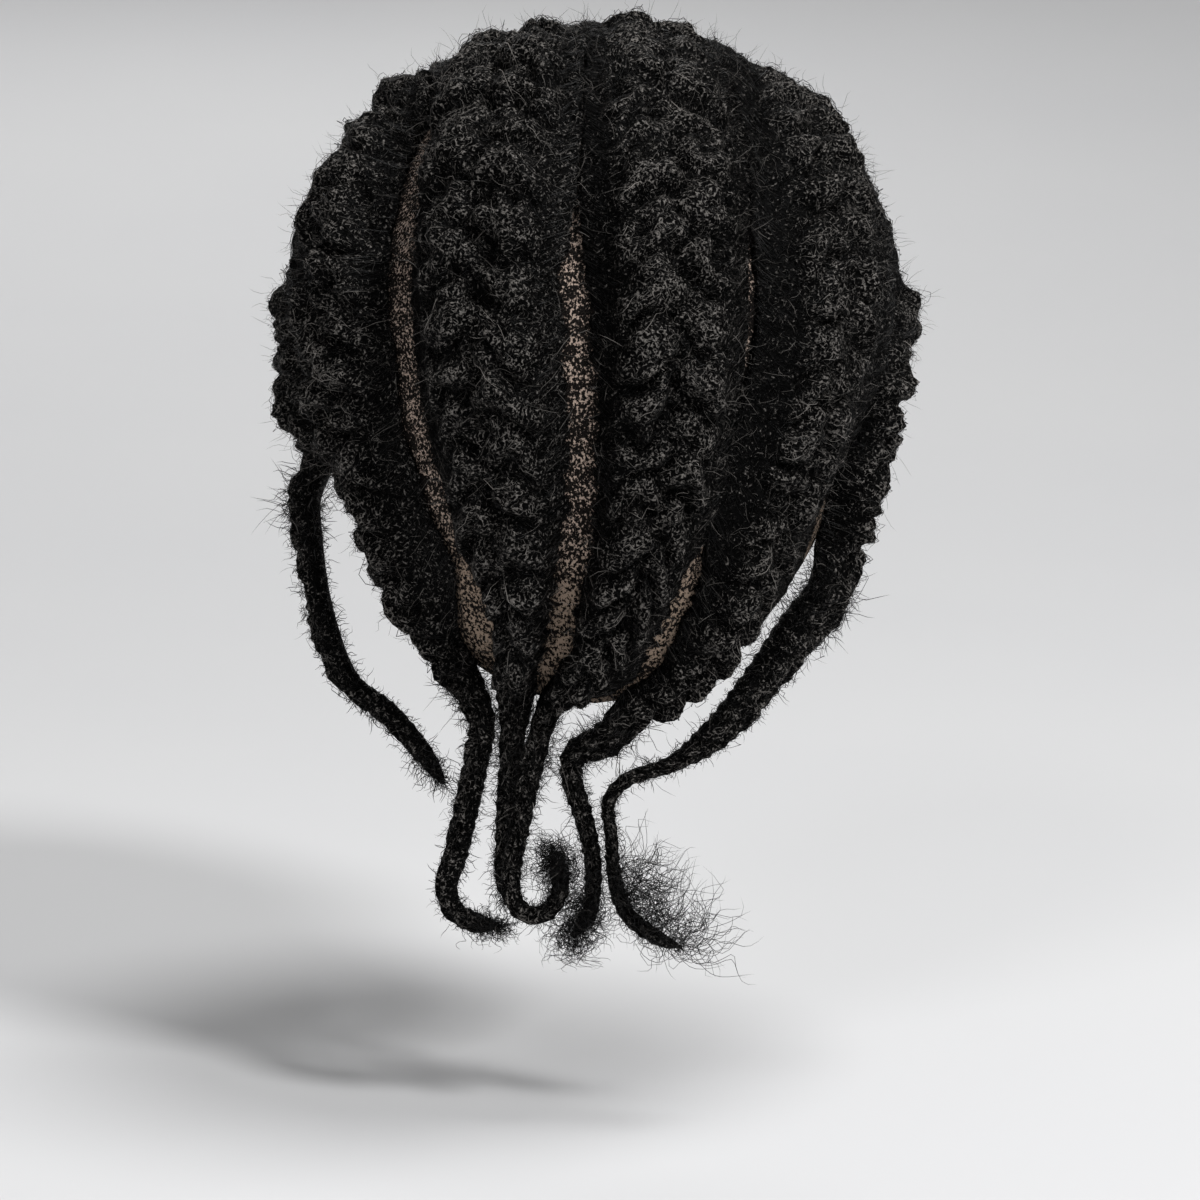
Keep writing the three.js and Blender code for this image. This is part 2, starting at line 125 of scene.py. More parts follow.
@dataclass(frozen=True)
class HeadForm:
    """Form that the inside of the cap follows: half-ellipsoids that meet at the widest level."""

    side: float = 78.0
    front: float = 94.0
    back: float = 96.0
    up: float = 78.0
    down: float = 132.0

    def offset(self, points: Array) -> Array:
        """Offsets of points from the middle of the form."""
        return points - np.array([0.0, 0.0, -self.up])

    def axes(self, offset: Array) -> Array:
        """Half axes of the form on the side that each offset points to."""
        deep = np.where(offset[..., 1] < 0, self.front, self.back)
        tall = np.where(offset[..., 2] > 0, self.up, self.down)
        return np.stack([np.full_like(deep, self.side), deep, tall], axis=-1)

    def on(self, points: Array) -> Array:
        """Points of the form that lie the same way from its middle as given ones."""
        offset = self.offset(points)
        reach = np.linalg.norm(offset / self.axes(offset), axis=-1, keepdims=True)
        return offset / reach - np.array([0.0, 0.0, self.up])

    def normal(self, points: Array) -> Array:
        """Directions straight out of the form at given points."""
        offset = self.offset(points)
        return unit(offset / self.axes(offset) ** 2)

    def lifted(self, points: Array, height: Array | float) -> Array:
        """Points raised off the form by a height."""
        return points + self.normal(points) * np.asarray(height)[..., None]

    def over(self, sweep: Array, lean: Array) -> Array:
        """Points by sweep, 0 at the front and 180 at the back, and lean to the wearer's left."""
        turn, aside = np.radians(sweep), np.radians(lean)
        flat = np.cos(aside)
        way = np.stack([np.sin(aside), -flat * np.cos(turn), flat * np.sin(turn)], axis=-1)
        return self.on(way - np.array([0.0, 0.0, self.up]))

    def turn(self, drop: Array) -> Array:
        """Turn down from the crown at which the form lies a given drop below it."""
        above = self.up - np.asarray(drop, float)
        return np.arccos(above / np.where(above > 0, self.up, self.down))

    def around(self, bearing: Array, turn: Array) -> Array:
        """Points by bearing round the form from the front and turn down from the crown."""
        round_ = np.radians(np.asarray(bearing, float))
        aside = np.stack([np.sin(round_), -np.cos(round_), np.zeros_like(round_)], axis=-1)
        wide = 1.0 / np.linalg.norm(aside / self.axes(aside), axis=-1)
        tall = np.where(np.cos(turn) > 0, self.up, self.down)
        flat = aside * (wide * np.sin(turn))[..., None]
        return flat + np.stack([0 * wide, 0 * wide, tall * np.cos(turn) - self.up], axis=-1)

    def sweep_and_lean(self, points: Array) -> tuple[Array, Array]:
        """Sweep and lean of given points."""
        way = unit(self.offset(points))
        sweep = np.degrees(np.arctan2(way[..., 2], -way[..., 1]))
        return np.where(sweep < -90, sweep + 360, sweep), np.degrees(np.arcsin(way[..., 0]))


HEAD = HeadForm()

# Drop of the cap's edge below the crown, by bearing from the middle of the front.
RIM = SmoothTable((
    (0, 56), (25, 58), (50, 72), (68, 91), (80, 100), (95, 101), (110, 116), (125, 139), (142, 161),
    (160, 174), (180, 178),
))


class Parting(Enum):
    """Partings between the cornrows, by their column in the table."""

    LEFT_OUTER = 0
    LEFT = 1
    CENTRE = 2
    RIGHT = 3
    RIGHT_OUTER = 4


# Sweep, then the lean of each parting.
PARTINGS = SmoothTable((
    (0, 38, 17, 0, -16, -37),
    (45, 51, 24, 0.5, -19, -49),
    (90, 60, 30.5, 1, -22, -58),
    (130, 66, 36, 2, -26, -64),
    (170, 67, 37, 3, -25.5, -65),
    (195, 64, 32.5, 2, -22.5, -62),
    (212, 56, 25, 3, -17, -55),
    (226, 45, 15, 5, -10.5, -45),
    (240, 36, 10, 8, -4, -36),
))


class Fill(Enum):
    """Thickness of the hair at the edges of a parting, by its column in the table."""

    INNER = 0
    OUTER = 1


# Sweep, then the thickness of the hair at the edges of the inner and the outer partings.
FILL = SmoothTable((
    (0, 1.6, 1.6), (45, 8, 8), (90, 13, 12), (130, 7, 12), (170, 1.6, 11), (195, 1.6, 6), (212, 1.6, 1.6),
    (240, 1.6, 1.6),
))


@dataclass(frozen=True)
class Bare:
    """Lace that shows in a parting: its half width, and the sweeps between which the hair gives way to it.

    Low is the share of the fill that the hair has at its edges where it is open, and cover the least
    thickness there. Least is the share of the half width that is bare where it is closed, below nought where
    the hair overlaps. Torn least is the share of raggedness there, and sharp and trim make the edges a little
    sharper than the fill.
    """

    half: float
    closed: float
    open: float
    fill: Fill = Fill.INNER
    low: float = 1.0
    cover: float = 0.3
    least: float = 0.15
    torn_least: float = 0.3
    sharp: float = 1.25
    trim: float = 1.7

    def opened(self, sweep: Array) -> Array:
        """Share to which the parting is open at given sweeps."""
        return eased(sweep, self.closed, self.open)

    def width(self, sweep: Array) -> Array:
        """Half width of the bare lace at given sweeps."""
        return self.half * mixed(self.least, 1.0, self.opened(sweep))

    def torn(self, sweep: Array) -> Array:
        """Share of full raggedness that the edges of the hair have at given sweeps."""
        return mixed(self.torn_least, 1.0, self.opened(sweep))

    def edge(self, sweep: Array) -> Array:
        """Height of the hair at the edges of the parting at given sweeps."""
        share = mixed(1.0, self.low, self.opened(sweep))
        full = self.sharp * FILL.at(sweep)[..., self.fill.value] - self.trim
        return np.maximum(share * full, self.cover)


BARE = {
    Parting.LEFT_OUTER: Bare(1.8, 188, 206, Fill.OUTER, least=-0.2),
    Parting.LEFT: Bare(4.2, 94, 120, low=0.15, least=0.0),
    Parting.CENTRE: Bare(3.4, 152, 172, least=-0.1),
    Parting.RIGHT: Bare(3.2, 206, 220, cover=1.4, least=-0.5),
    Parting.RIGHT_OUTER: Bare(3.2, 196, 208, Fill.OUTER, least=-0.2),
}


class Lay(Enum):
    """How a row of a plait's table gives its place."""

    OVER = "sweep and lean over the head"
    ROUND = "bearing round the head and drop below the crown"
    FREE = "x, y and z of a hanging tail"


@dataclass(frozen=True)
class Row:
    """One row of a plait's table: its place, and the plait's width, height and stitch there."""

    lay: Lay
    place: tuple[float, ...]
    width: float
    height: float
    stitch: float

    def point(self, seat: float) -> Array:
        """Point on the plait's underside, a seat above the head form where it lies on the cap."""
        if self.lay is Lay.FREE:
            return np.array(self.place)
        first, second = (np.array([value]) for value in self.place)
        if self.lay is Lay.OVER:
            foot = HEAD.over(first, second)
        else:
            foot = HEAD.around(first, HEAD.turn(second))
        return HEAD.lifted(foot, np.array([seat]))[0]


def over(sweep: float, lean: float, width: float, height: float, stitch: float) -> Row:
    """Row that lies on the cap, by sweep and lean."""
    return Row(Lay.OVER, (sweep, lean), width, height, stitch)


def around(bearing: float, drop: float, width: float, height: float, stitch: float) -> Row:
    """Row that lies on the cap, by bearing and drop."""
    return Row(Lay.ROUND, (bearing, drop), width, height, stitch)


def free(x: float, y: float, z: float, width: float, height: float, stitch: float) -> Row:
    """Row of a tail that hangs free."""
    return Row(Lay.FREE, (x, y, z), width, height, stitch)


@dataclass(frozen=True)
class TailEnd:
    """Loose hair at the end of a tail: how many hairs, over what stretch, how long, which way, how curled."""

    hairs: int
    stretch: float
    length: float
    way: tuple[float, float, float]
    spread: float
    curl: float
    turns: float


@dataclass(frozen=True)
class PlaitTable:
    """Name, partings, rows and tail end of one cornrow, and the depth of the creases between its lobes."""

    name: str
    left: Parting | None
    right: Parting | None
    rows: tuple[Row, ...]
    end: TailEnd
    crease: float
    seed: int


PLAITS = (
    PlaitTable(
        "left_outer", None, Parting.LEFT_OUTER,
        (
            around(50, 63, 7, 3, 9), around(60, 67, 15, 8, 10), around(74, 70, 21, 14, 10),
            around(88, 73, 23, 16, 10), around(99, 82, 21, 15.5, 10), around(105, 96, 19, 15.5, 10),
            free(81.5, 24, -117, 14, 11, 9), free(80.5, 28, -136, 10, 8, 8), free(77, 33, -157, 9, 7.5, 8),
            free(69, 40, -176, 7.5, 6.5, 8), free(57, 48, -184.5, 7, 6, 8), free(47.5, 53.5, -195, 6, 5, 8),
            free(42.8, 56.5, -203, 3.4, 3, 8),
        ),
        TailEnd(200, 14, 8, (-0.4, 0.3, -0.6), 0.9, 1.0, 1.6), 0.38, 11,
    ),
    PlaitTable(
        "left_middle", Parting.LEFT_OUTER, Parting.LEFT,
        (
            over(19, 30, 8, 3, 10), over(33, 36, 18, 8, 12), over(60, 40.5, 28, 14, 13),
            over(100, 45, 32, 15.5, 13), over(150, 51, 34, 17.5, 13), over(184, 50.5, 31, 17, 13),
            over(207, 45, 27, 14.5, 12.5), over(223, 37.5, 22, 12, 12), over(233, 29, 18, 11, 11),
            over(237, 21.5, 14, 9.5, 10), free(30.8, 62, -183, 8, 7.5, 9),
            free(32.4, 60.5, -195, 7.6, 6.8, 8), free(35.4, 60, -210, 7.4, 6.4, 8),
            free(38.6, 61, -224, 7, 6.2, 8), free(41, 63, -231.5, 6.8, 5.8, 7),
            free(39.2, 65, -237.8, 6.4, 5.4, 6), free(33.4, 66.5, -241, 5.8, 4.8, 6),
            free(26.5, 67.5, -242.4, 3.6, 3.2, 6),
        ),
        TailEnd(220, 9, 8, (-0.8, 0.3, 0.1), 0.8, 1.4, 1.8), 0.62, 12,
    ),
    PlaitTable(
        "left_inner", Parting.LEFT, Parting.CENTRE,
        (
            over(16, 8, 9, 3, 11), over(30, 11, 20, 8, 13), over(60, 12.5, 29, 12, 14),
            over(100, 15.5, 35, 14, 14.5), over(140, 18, 36, 14, 14.5), over(176, 17.5, 33, 13.5, 14.5),
            over(207, 13.5, 26, 12.5, 13), over(224, 11, 20, 11, 12), over(236, 10.4, 13.5, 9.5, 10.5),
            free(22.4, 63, -188, 7.4, 8, 9.5), free(22.8, 62.5, -196, 6.8, 7, 9),
            free(24, 62.5, -210, 6.4, 6.4, 9), free(24.4, 63.5, -224.5, 6.2, 5.8, 8),
            free(24.6, 65, -231.5, 5.4, 5, 8), free(25, 66, -236, 3.8, 3.4, 8),
        ),
        TailEnd(160, 14, 7, (-0.1, 0.3, -0.5), 0.8, 0.9, 1.6), 0.46, 13,
    ),
    PlaitTable(
        "right_inner", Parting.CENTRE, Parting.RIGHT,
        (
            over(16, -7, 9, 3, 11), over(30, -8.5, 19, 8, 13), over(60, -9.5, 28, 12, 14),
            over(100, -11, 32, 14, 14.5), over(140, -12, 33, 13.5, 14.5), over(176, -12, 31, 13, 14),
            over(200, -9.5, 26, 12.5, 13), over(217, -5, 20, 11, 12), over(230, 1.4, 14.4, 10, 10.5),
            free(14.2, 66.3, -187, 7.2, 8, 9.5), free(17.2, 68.4, -196, 6.8, 6.8, 9),
            free(20, 70.2, -210, 6, 6, 9), free(22.8, 72.2, -224.5, 5.6, 5.2, 8),
            free(22.6, 73, -232.5, 5.4, 4.8, 6), free(18.8, 73, -237.2, 5.4, 4.8, 6),
            free(13.4, 72.5, -236.8, 5.2, 4.8, 6), free(9.8, 72, -231.5, 5, 4.6, 6),
            free(9.8, 72, -225, 4.6, 4.2, 6), free(12.6, 72.5, -220, 2.6, 2.4, 6),
        ),
        TailEnd(380, 10, 11, (0.1, 0.3, 0.9), 0.9, 2.6, 1.6), 0.5, 14,
    ),
    PlaitTable(
        "right_middle", Parting.RIGHT, Parting.RIGHT_OUTER,
        (
            over(19, -29, 8, 3, 10), over(33, -34, 17, 8, 12), over(60, -36, 28, 15, 13),
            over(100, -40, 32, 16, 13), over(150, -44.5, 33, 16.5, 13), over(180, -43.5, 29, 15.5, 13),
            over(200, -37.5, 27, 14, 12.5), over(215, -28.5, 22, 12.5, 12), over(228, -19, 18, 12, 11),
            over(236, -10, 15, 10, 10), free(-3.5, 66, -188, 10.5, 8.5, 8.5),
            free(5.2, 64.5, -192.5, 7.5, 6.5, 7), free(6.4, 63.5, -199, 6.2, 6, 8),
            free(3.4, 63, -210, 5.6, 5.2, 8), free(0.9, 63.5, -221, 5, 4.8, 8),
            free(0.4, 65.5, -231, 4.8, 4.6, 8), free(2.2, 67, -240, 4, 3.6, 8),
            free(7, 68, -245.5, 2.4, 2.2, 8),
        ),
        TailEnd(380, 16, 14, (0.3, 0.3, -0.2), 1.1, 2.8, 1.8), 0.62, 15,
    ),
    PlaitTable(
        "right_outer", Parting.RIGHT_OUTER, None,
        (
            around(-49, 62, 7, 3, 9), around(-60, 66, 15, 8, 10), around(-74, 69, 21, 14, 10),
            around(-90, 72, 23, 15.5, 10), around(-103, 82, 23, 16, 10), around(-112, 99, 22, 16, 10),
            around(-117, 118, 20, 15.5, 10), free(-70, 36, -140, 16, 13, 10),
            free(-55, 43, -160, 14, 11.5, 9.5), free(-43, 50, -177, 12, 9.5, 9),
            free(-32.5, 55, -189, 9.5, 7.5, 8), free(-21.5, 59, -196.5, 4.8, 4.8, 8),
            free(-8.5, 62, -201, 4.2, 4.2, 8), free(-3.9, 62, -207, 4, 4, 8),
            free(-4.6, 62.5, -217, 3.8, 3.8, 8), free(-5.4, 64, -228, 4.2, 4, 8),
            free(-8.5, 66, -238, 4.6, 4.2, 8), free(-16, 68, -244.5, 4.6, 4, 8),
            free(-25, 69, -248.5, 2.4, 2.2, 8),
        ),
        TailEnd(360, 32, 24, (-0.66, 0.2, 0.5), 0.7, 3.8, 1.7), 0.4, 16,
    ),
)


class Value:
    """A shader value that can be used in expressions, each operator adding a Math node."""

    def __init__(self, sheet: "Sheet", socket: bpy.types.NodeSocket) -> None:
        """Keeps the socket and the sheet that it is on."""
        self.sheet = sheet
        self.socket = socket

    def maths(self, operation: str, first: "Value | float", second: "Value | float") -> "Value":
        """Adds a Math node on two values."""
        return self.sheet.node("ShaderNodeMath", {"operation": operation}, {0: first, 1: second})

    def __add__(self, other: "Value | float") -> "Value":
        """Sum of two values."""
        return self.maths("ADD", self, other)

    __radd__ = __add__

    def __mul__(self, other: "Value | float") -> "Value":
        """Product of two values."""
        return self.maths("MULTIPLY", self, other)

    __rmul__ = __mul__

    def __sub__(self, other: "Value | float") -> "Value":
        """This value less another."""
        return self.maths("SUBTRACT", self, other)

    def __rsub__(self, other: "Value | float") -> "Value":
        """Another value less this one."""
        return self.maths("SUBTRACT", other, self)

    def __abs__(self) -> "Value":
        """Size of this value without its sign."""
        return self.maths("ABSOLUTE", self, 0.0)


class Sheet:
    """Node sheet of one material, with its Principled shader."""

    def __init__(self, name: str, constants: dict[str, object]) -> None:
        """Makes the material.

        Args:
            name: Name of the material.
            constants: Values of the shader's sockets that are the same all over.
        """
        self.material = bpy.data.materials.new(name)
        self.material.use_nodes = True
        self.tree = self.material.node_tree
        self.shader = self.tree.nodes["Principled BSDF"]
        for socket, value in constants.items():
            self.shader.inputs[socket].default_value = value

    def node(
        self,
        kind: str,
        settings: dict[str, object],
        sockets: dict[str | int, object],
        output: str | int = 0,
    ) -> Value:
        """Adds a node.

        Args:
            kind: Type of the node.
            settings: Its settings, set first. The stops of a ramp are pairs of place and colour.
            sockets: Values or links of its sockets, by name or number.
            output: Output to hand on.

        Returns:
            The value at that output.
        """
        made = self.tree.nodes.new(kind)
        for key, value in settings.items():
            if key == "stops":
                elements = made.color_ramp.elements
                while len(elements) < len(value):
                    elements.new(1.0)
                for element, (place, colour) in zip(elements, value):
                    element.position = place
                    element.color = colour
            else:
                setattr(made, key, value)
        for key, value in sockets.items():
            if isinstance(value, Value):
                self.tree.links.new(value.socket, made.inputs[key])
            else:
                made.inputs[key].default_value = value
        return Value(self, made.outputs[output])

    def feed(self, socket: str, value: Value) -> None:
        """Links a varying value to a socket of the shader."""
        self.tree.links.new(value.socket, self.shader.inputs[socket])

    def noise(self, place: Value, scale: float, detail: float, output: str | int = 0) -> Value:
        """Adds a soft noise over given places."""
        sockets = {"Vector": place, "Scale": scale, "Detail": detail}
        return self.node("ShaderNodeTexNoise", {}, sockets, output)

    def warped(self, place: Value, scale: float, reach: float) -> Value:
        """Places shifted by a soft noise, so that what is drawn on them curls."""
        shift = self.noise(place, scale, 2.0, "Color")
        return self.node(
            "ShaderNodeVectorMath", {"operation": "MULTIPLY_ADD"}, {0: shift, 1: (reach,) * 3, 2: place},
        )

    def ramp(self, share: Value, *stops: tuple[float, Colour]) -> Value:
        """Colour by a share, through stops of place and colour."""
        return self.node("ShaderNodeValToRGB", {"stops": stops}, {"Fac": share})

    def blend(self, share: Value, first: Value | Colour, second: Value | Colour) -> Value:
        """Mix of two colours, all of the second at a share of one."""
        return self.node("ShaderNodeMix", {"data_type": "RGBA"}, {"Factor": share, 6: first, 7: second}, 2)

    def fade(self, value: Value, start: float, end: float, kind: str = "SMOOTHSTEP") -> Value:
        """Share that goes from 0 at a start to 1 at an end."""
        sockets = {"Value": value, "From Min": start, "From Max": end}
        return self.node("ShaderNodeMapRange", {"interpolation_type": kind}, sockets)

    def bump(self, height: Value, distance: float, strength: float) -> None:
        """Gives the surface a relief from a height, with a distance in metres."""
        self.feed("Normal", self.node(
            "ShaderNodeBump", {}, {"Height": height, "Distance": distance, "Strength": strength},
        ))


@dataclass(frozen=True)
class CoreHairFinish:
    """Packed hair in the body of a plait: fine dark curls with painted glints, and painted light that makes
    lobe tops lighter and creases darker.
    """

    shadow: Colour = (0.0002, 0.0002, 0.0002, 1.0)
    middle: Colour = (0.003, 0.0028, 0.0026, 1.0)
    # Painted glint: a bright colour in the hair's own colour, standing in for curls that catch the light.
    glint: Colour = (0.15, 0.14, 0.13, 1.0)
    stops: tuple[float, float, float] = (0.22, 0.4, 0.62)
    roughness: float = 0.5
    swing: float = 0.3
    sheen: float = 0.04
    curl: float = 1.3
    dash: float = 1.0
    sway: float = 3.0
    sway_scale: float = 300.0
    thin: float = 6.0
    lit: float = 0.25
    lit_middle: float = 0.6
    relief: float = 0.5

    def material(self) -> bpy.types.Material:
        """Makes the material, with curls drawn in space so that they keep their size on steep sides."""
        sheet = Sheet("packed hair", {"Specular IOR Level": self.sheen})
        light = sheet.node("ShaderNodeAttribute", {"attribute_name": "light"}, {}, "Fac")
        place = sheet.node("ShaderNodeTexCoord", {}, {}, "Object")
        curled = sheet.warped(place, self.sway_scale, self.sway * MM)
        level = sheet.noise(curled, 1.0 / (self.curl * MM), 1.0)
        patches = sheet.noise(place, 1.0 / (self.dash * MM), 1.0)
        strands = (1.0 - self.thin * abs(level - 0.5)) * patches
        colours = (self.shadow, self.middle, self.glint)
        # Painted light and shade: the light attribute pushes the curls towards the glint on lobe tops and
        # towards the shadow colour in creases and on the darker flank.
        share = strands + self.lit * (light - self.lit_middle)
        sheet.feed("Base Color", sheet.ramp(share, *zip(self.stops, colours)))
        sheet.feed("Roughness", self.roughness + self.swing * (0.5 - strands))
        sheet.bump(strands, self.relief * MM, 1.0)
        return sheet.material


@dataclass(frozen=True)
class StrandFinish:
    """Single kinky hairs, from near black to a light brownish grey that is a painted highlight on the
    lightest tones.
    """

    dark: Colour = (0.0002, 0.0002, 0.0002, 1.0)
    warm: Colour = (0.0045, 0.0042, 0.0039, 1.0)
    # Painted highlight: the colour that the lightest tones take in place of real glints.
    painted_glint: Colour = (0.24, 0.223, 0.206, 1.0)
    warm_at: float = 0.45
    roughness: float = 0.3
    swing: float = 0.15
    sheen: float = 0.15

    def material(self) -> bpy.types.Material:
        """Makes the material, with each hair's tone from its attribute: its own, and on some hairs raised by
        painted light.
        """
        sheet = Sheet("single hairs", {"Specular IOR Level": self.sheen})
        tone = sheet.node("ShaderNodeAttribute", {"attribute_name": "tone"}, {}, "Fac")
        colour = sheet.ramp(tone, (0.0, self.dark), (self.warm_at, self.warm), (1.0, self.painted_glint))
        sheet.feed("Base Color", colour)
        sheet.feed("Roughness", self.roughness + self.swing * tone)
        return sheet.material


@dataclass(frozen=True)
class LaceFinish:
    """Tan net that shows as small light cells between the dark knots of the hairs tied into it."""

    net: Colour = (0.42, 0.328, 0.272, 1.0)
    bare: Colour = (0.27, 0.205, 0.156, 1.0)
    knot: Colour = (0.003, 0.0025, 0.0022, 1.0)
    strand: Colour = (0.016, 0.0135, 0.012, 1.0)
    cell: float = 0.8
    shown: float = 0.44
    soft: float = 0.03
    clear: tuple[float, float] = (2.4, 6.0)
    tied: float = 0.07
    nape: tuple[float, float] = (346.0, 372.0)
    nape_shown: float = 0.05
    stretch: tuple[float, float, float] = (1.2, 0.7, 1.0)
    grain: float = 0.7
    patch_scale: float = 0.25
    patch_swing: float = 0.35
    fine: float = 2.2
    fine_stops: tuple[float, float] = (0.42, 0.66)
    fine_relief: float = 0.5
    relief: float = 0.3
    roughness: float = 0.85
    sheen: float = 0.04

    def material(self) -> bpy.types.Material:
        """Makes the material on the cap's own map, in millimetres, with fewer hairs tied in at the nape."""
        sheet = Sheet("lace net", {"Roughness": self.roughness, "Specular IOR Level": self.sheen})
        flat = sheet.node("ShaderNodeUVMap", {"uv_map": "net"}, {})
        even = sheet.node("ShaderNodeMapping", {}, {"Vector": flat, "Scale": self.stretch})
        speckle = sheet.node("ShaderNodeTexNoise", {}, {
            "Vector": even, "Scale": 1.0 / self.cell, "Detail": 2.0, "Roughness": self.grain,
        })
        patchy = sheet.noise(flat, self.patch_scale, 2.0)
        aside = sheet.node("ShaderNodeAttribute", {"attribute_name": "aside"}, {}, "Fac")
        covered = sheet.fade(abs(aside), *self.clear, "LINEAR")
        along = sheet.node("ShaderNodeSeparateXYZ", {}, {"Vector": flat}, "Y")
        low = sheet.fade(along, *self.nape)
        dense = speckle + self.tied * covered * (1.0 - low) - self.nape_shown * low
        knots = sheet.fade(
            dense - self.patch_swing * (patchy - 0.5), self.shown - self.soft, self.shown + self.soft,
        )
        ground = sheet.blend(low, self.net, self.bare)
        fine = sheet.noise(flat, self.fine / self.cell, 1.0)
        hairs = sheet.ramp(fine, *zip(self.fine_stops, (self.knot, self.strand)))
        sheet.feed("Base Color", sheet.blend(knots, ground, hairs))
        sheet.bump(knots + self.fine_relief * fine, self.relief * MM, 0.8)
        return sheet.material


@dataclass(frozen=True)
class FloorFinish:
    """Plain pale paper under and behind the toupee."""

    paper: Colour = (0.72, 0.72, 0.72, 1.0)
    shade: Colour = (0.68, 0.68, 0.69, 1.0)
    grain: float = 3.0

    def material(self) -> bpy.types.Material:
        """Makes the material."""
        sheet = Sheet("pale paper", {"Roughness": 0.9, "Specular IOR Level": 0.1})
        place = sheet.node("ShaderNodeTexCoord", {}, {}, "Object")
        sheet.feed("Base Color", sheet.blend(sheet.noise(place, self.grain, 2.0), self.paper, self.shade))
        return sheet.material


def rolled_tube(name: str, rings: int, sides: int, ends: bool) -> bpy.types.Mesh:
    """Rolls a flat grid into a tube along X, from -1 to 1, with its seam closed.

    Args:
        name: Name of the mesh.
        rings: Number of steps along the tube.
        sides: Number of steps round it.
        ends: Whether the ends are filled.

    Returns:
        The mesh. A vertex's turn about X, from -Y over -Z, tells where it lies round the tube.
    """
    shape = bmesh.new()
    bmesh.ops.create_grid(shape, x_segments=rings, y_segments=sides, size=1.0)
    for vertex in shape.verts:
        turn = math.pi * vertex.co.y
        vertex.co.yz = -math.cos(turn), -math.sin(turn)
    bmesh.ops.remove_doubles(shape, verts=shape.verts[:], dist=1e-5)
    if ends:
        bmesh.ops.holes_fill(shape, edges=[edge for edge in shape.edges if edge.is_boundary], sides=0)
    bmesh.ops.recalc_face_normals(shape, faces=shape.faces[:])
    mesh = bpy.data.meshes.new(name)
    shape.to_mesh(mesh)
    shape.free()
    return mesh


def tube_places(mesh: bpy.types.Mesh) -> tuple[Array, Array]:
    """Share along a rolled tube, from 0 to 1, and share round it, from 0 to 1, of each vertex."""
    flat = np.zeros(len(mesh.vertices) * 3, np.float32)
    mesh.vertices.foreach_get("co", flat)
    x, y, z = flat.reshape(-1, 3).astype(float).T
    turn = np.arctan2(-z, -y) / (2 * math.pi)
    return (x + 1) / 2, turn % 1.0


def shape_mesh(mesh: bpy.types.Mesh, points: Array) -> None:
    """Moves a mesh's vertices to points in millimetres, and shades it smooth."""
    mesh.vertices.foreach_set("co", (points * MM).astype(np.float32).ravel())
    mesh.polygons.foreach_set("use_smooth", np.ones(len(mesh.polygons), bool))
    mesh.update()


def map_mesh(mesh: bpy.types.Mesh, name: str, places: Array) -> None:
    """Adds a UV map from a place for each vertex."""
    corners = np.zeros(len(mesh.loops), np.int32)
    mesh.loops.foreach_get("vertex_index", corners)
    layer = mesh.uv_layers.new(name=name)
    layer.data.foreach_set("uv", places[corners].astype(np.float32).ravel())


def tint_mesh(mesh: bpy.types.Mesh, name: str, values: Array) -> None:
    """Adds a value for each vertex as an attribute."""
    mesh.attributes.new(name, "FLOAT", "POINT").data.foreach_set("value", values.astype(np.float32))


def face_outward(mesh: bpy.types.Mesh) -> None:
    """Closes the poles of a closed mesh and turns its faces outward."""
    shape = bmesh.new()
    shape.from_mesh(mesh)
    bmesh.ops.remove_doubles(shape, verts=shape.verts[:], dist=0.01 * MM)
    bmesh.ops.recalc_face_normals(shape, faces=shape.faces[:])
    shape.to_mesh(mesh)
    shape.free()


def piece(mesh: bpy.types.Mesh, material: bpy.types.Material) -> bpy.types.Object:
    """Puts a finished mesh in the scene as a piece that rides on the toupee."""
    mesh.materials.append(material)
    made = bpy.data.objects.new(mesh.name, mesh)
    bpy.context.scene.collection.objects.link(made)
    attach(made, BODY)
    return made


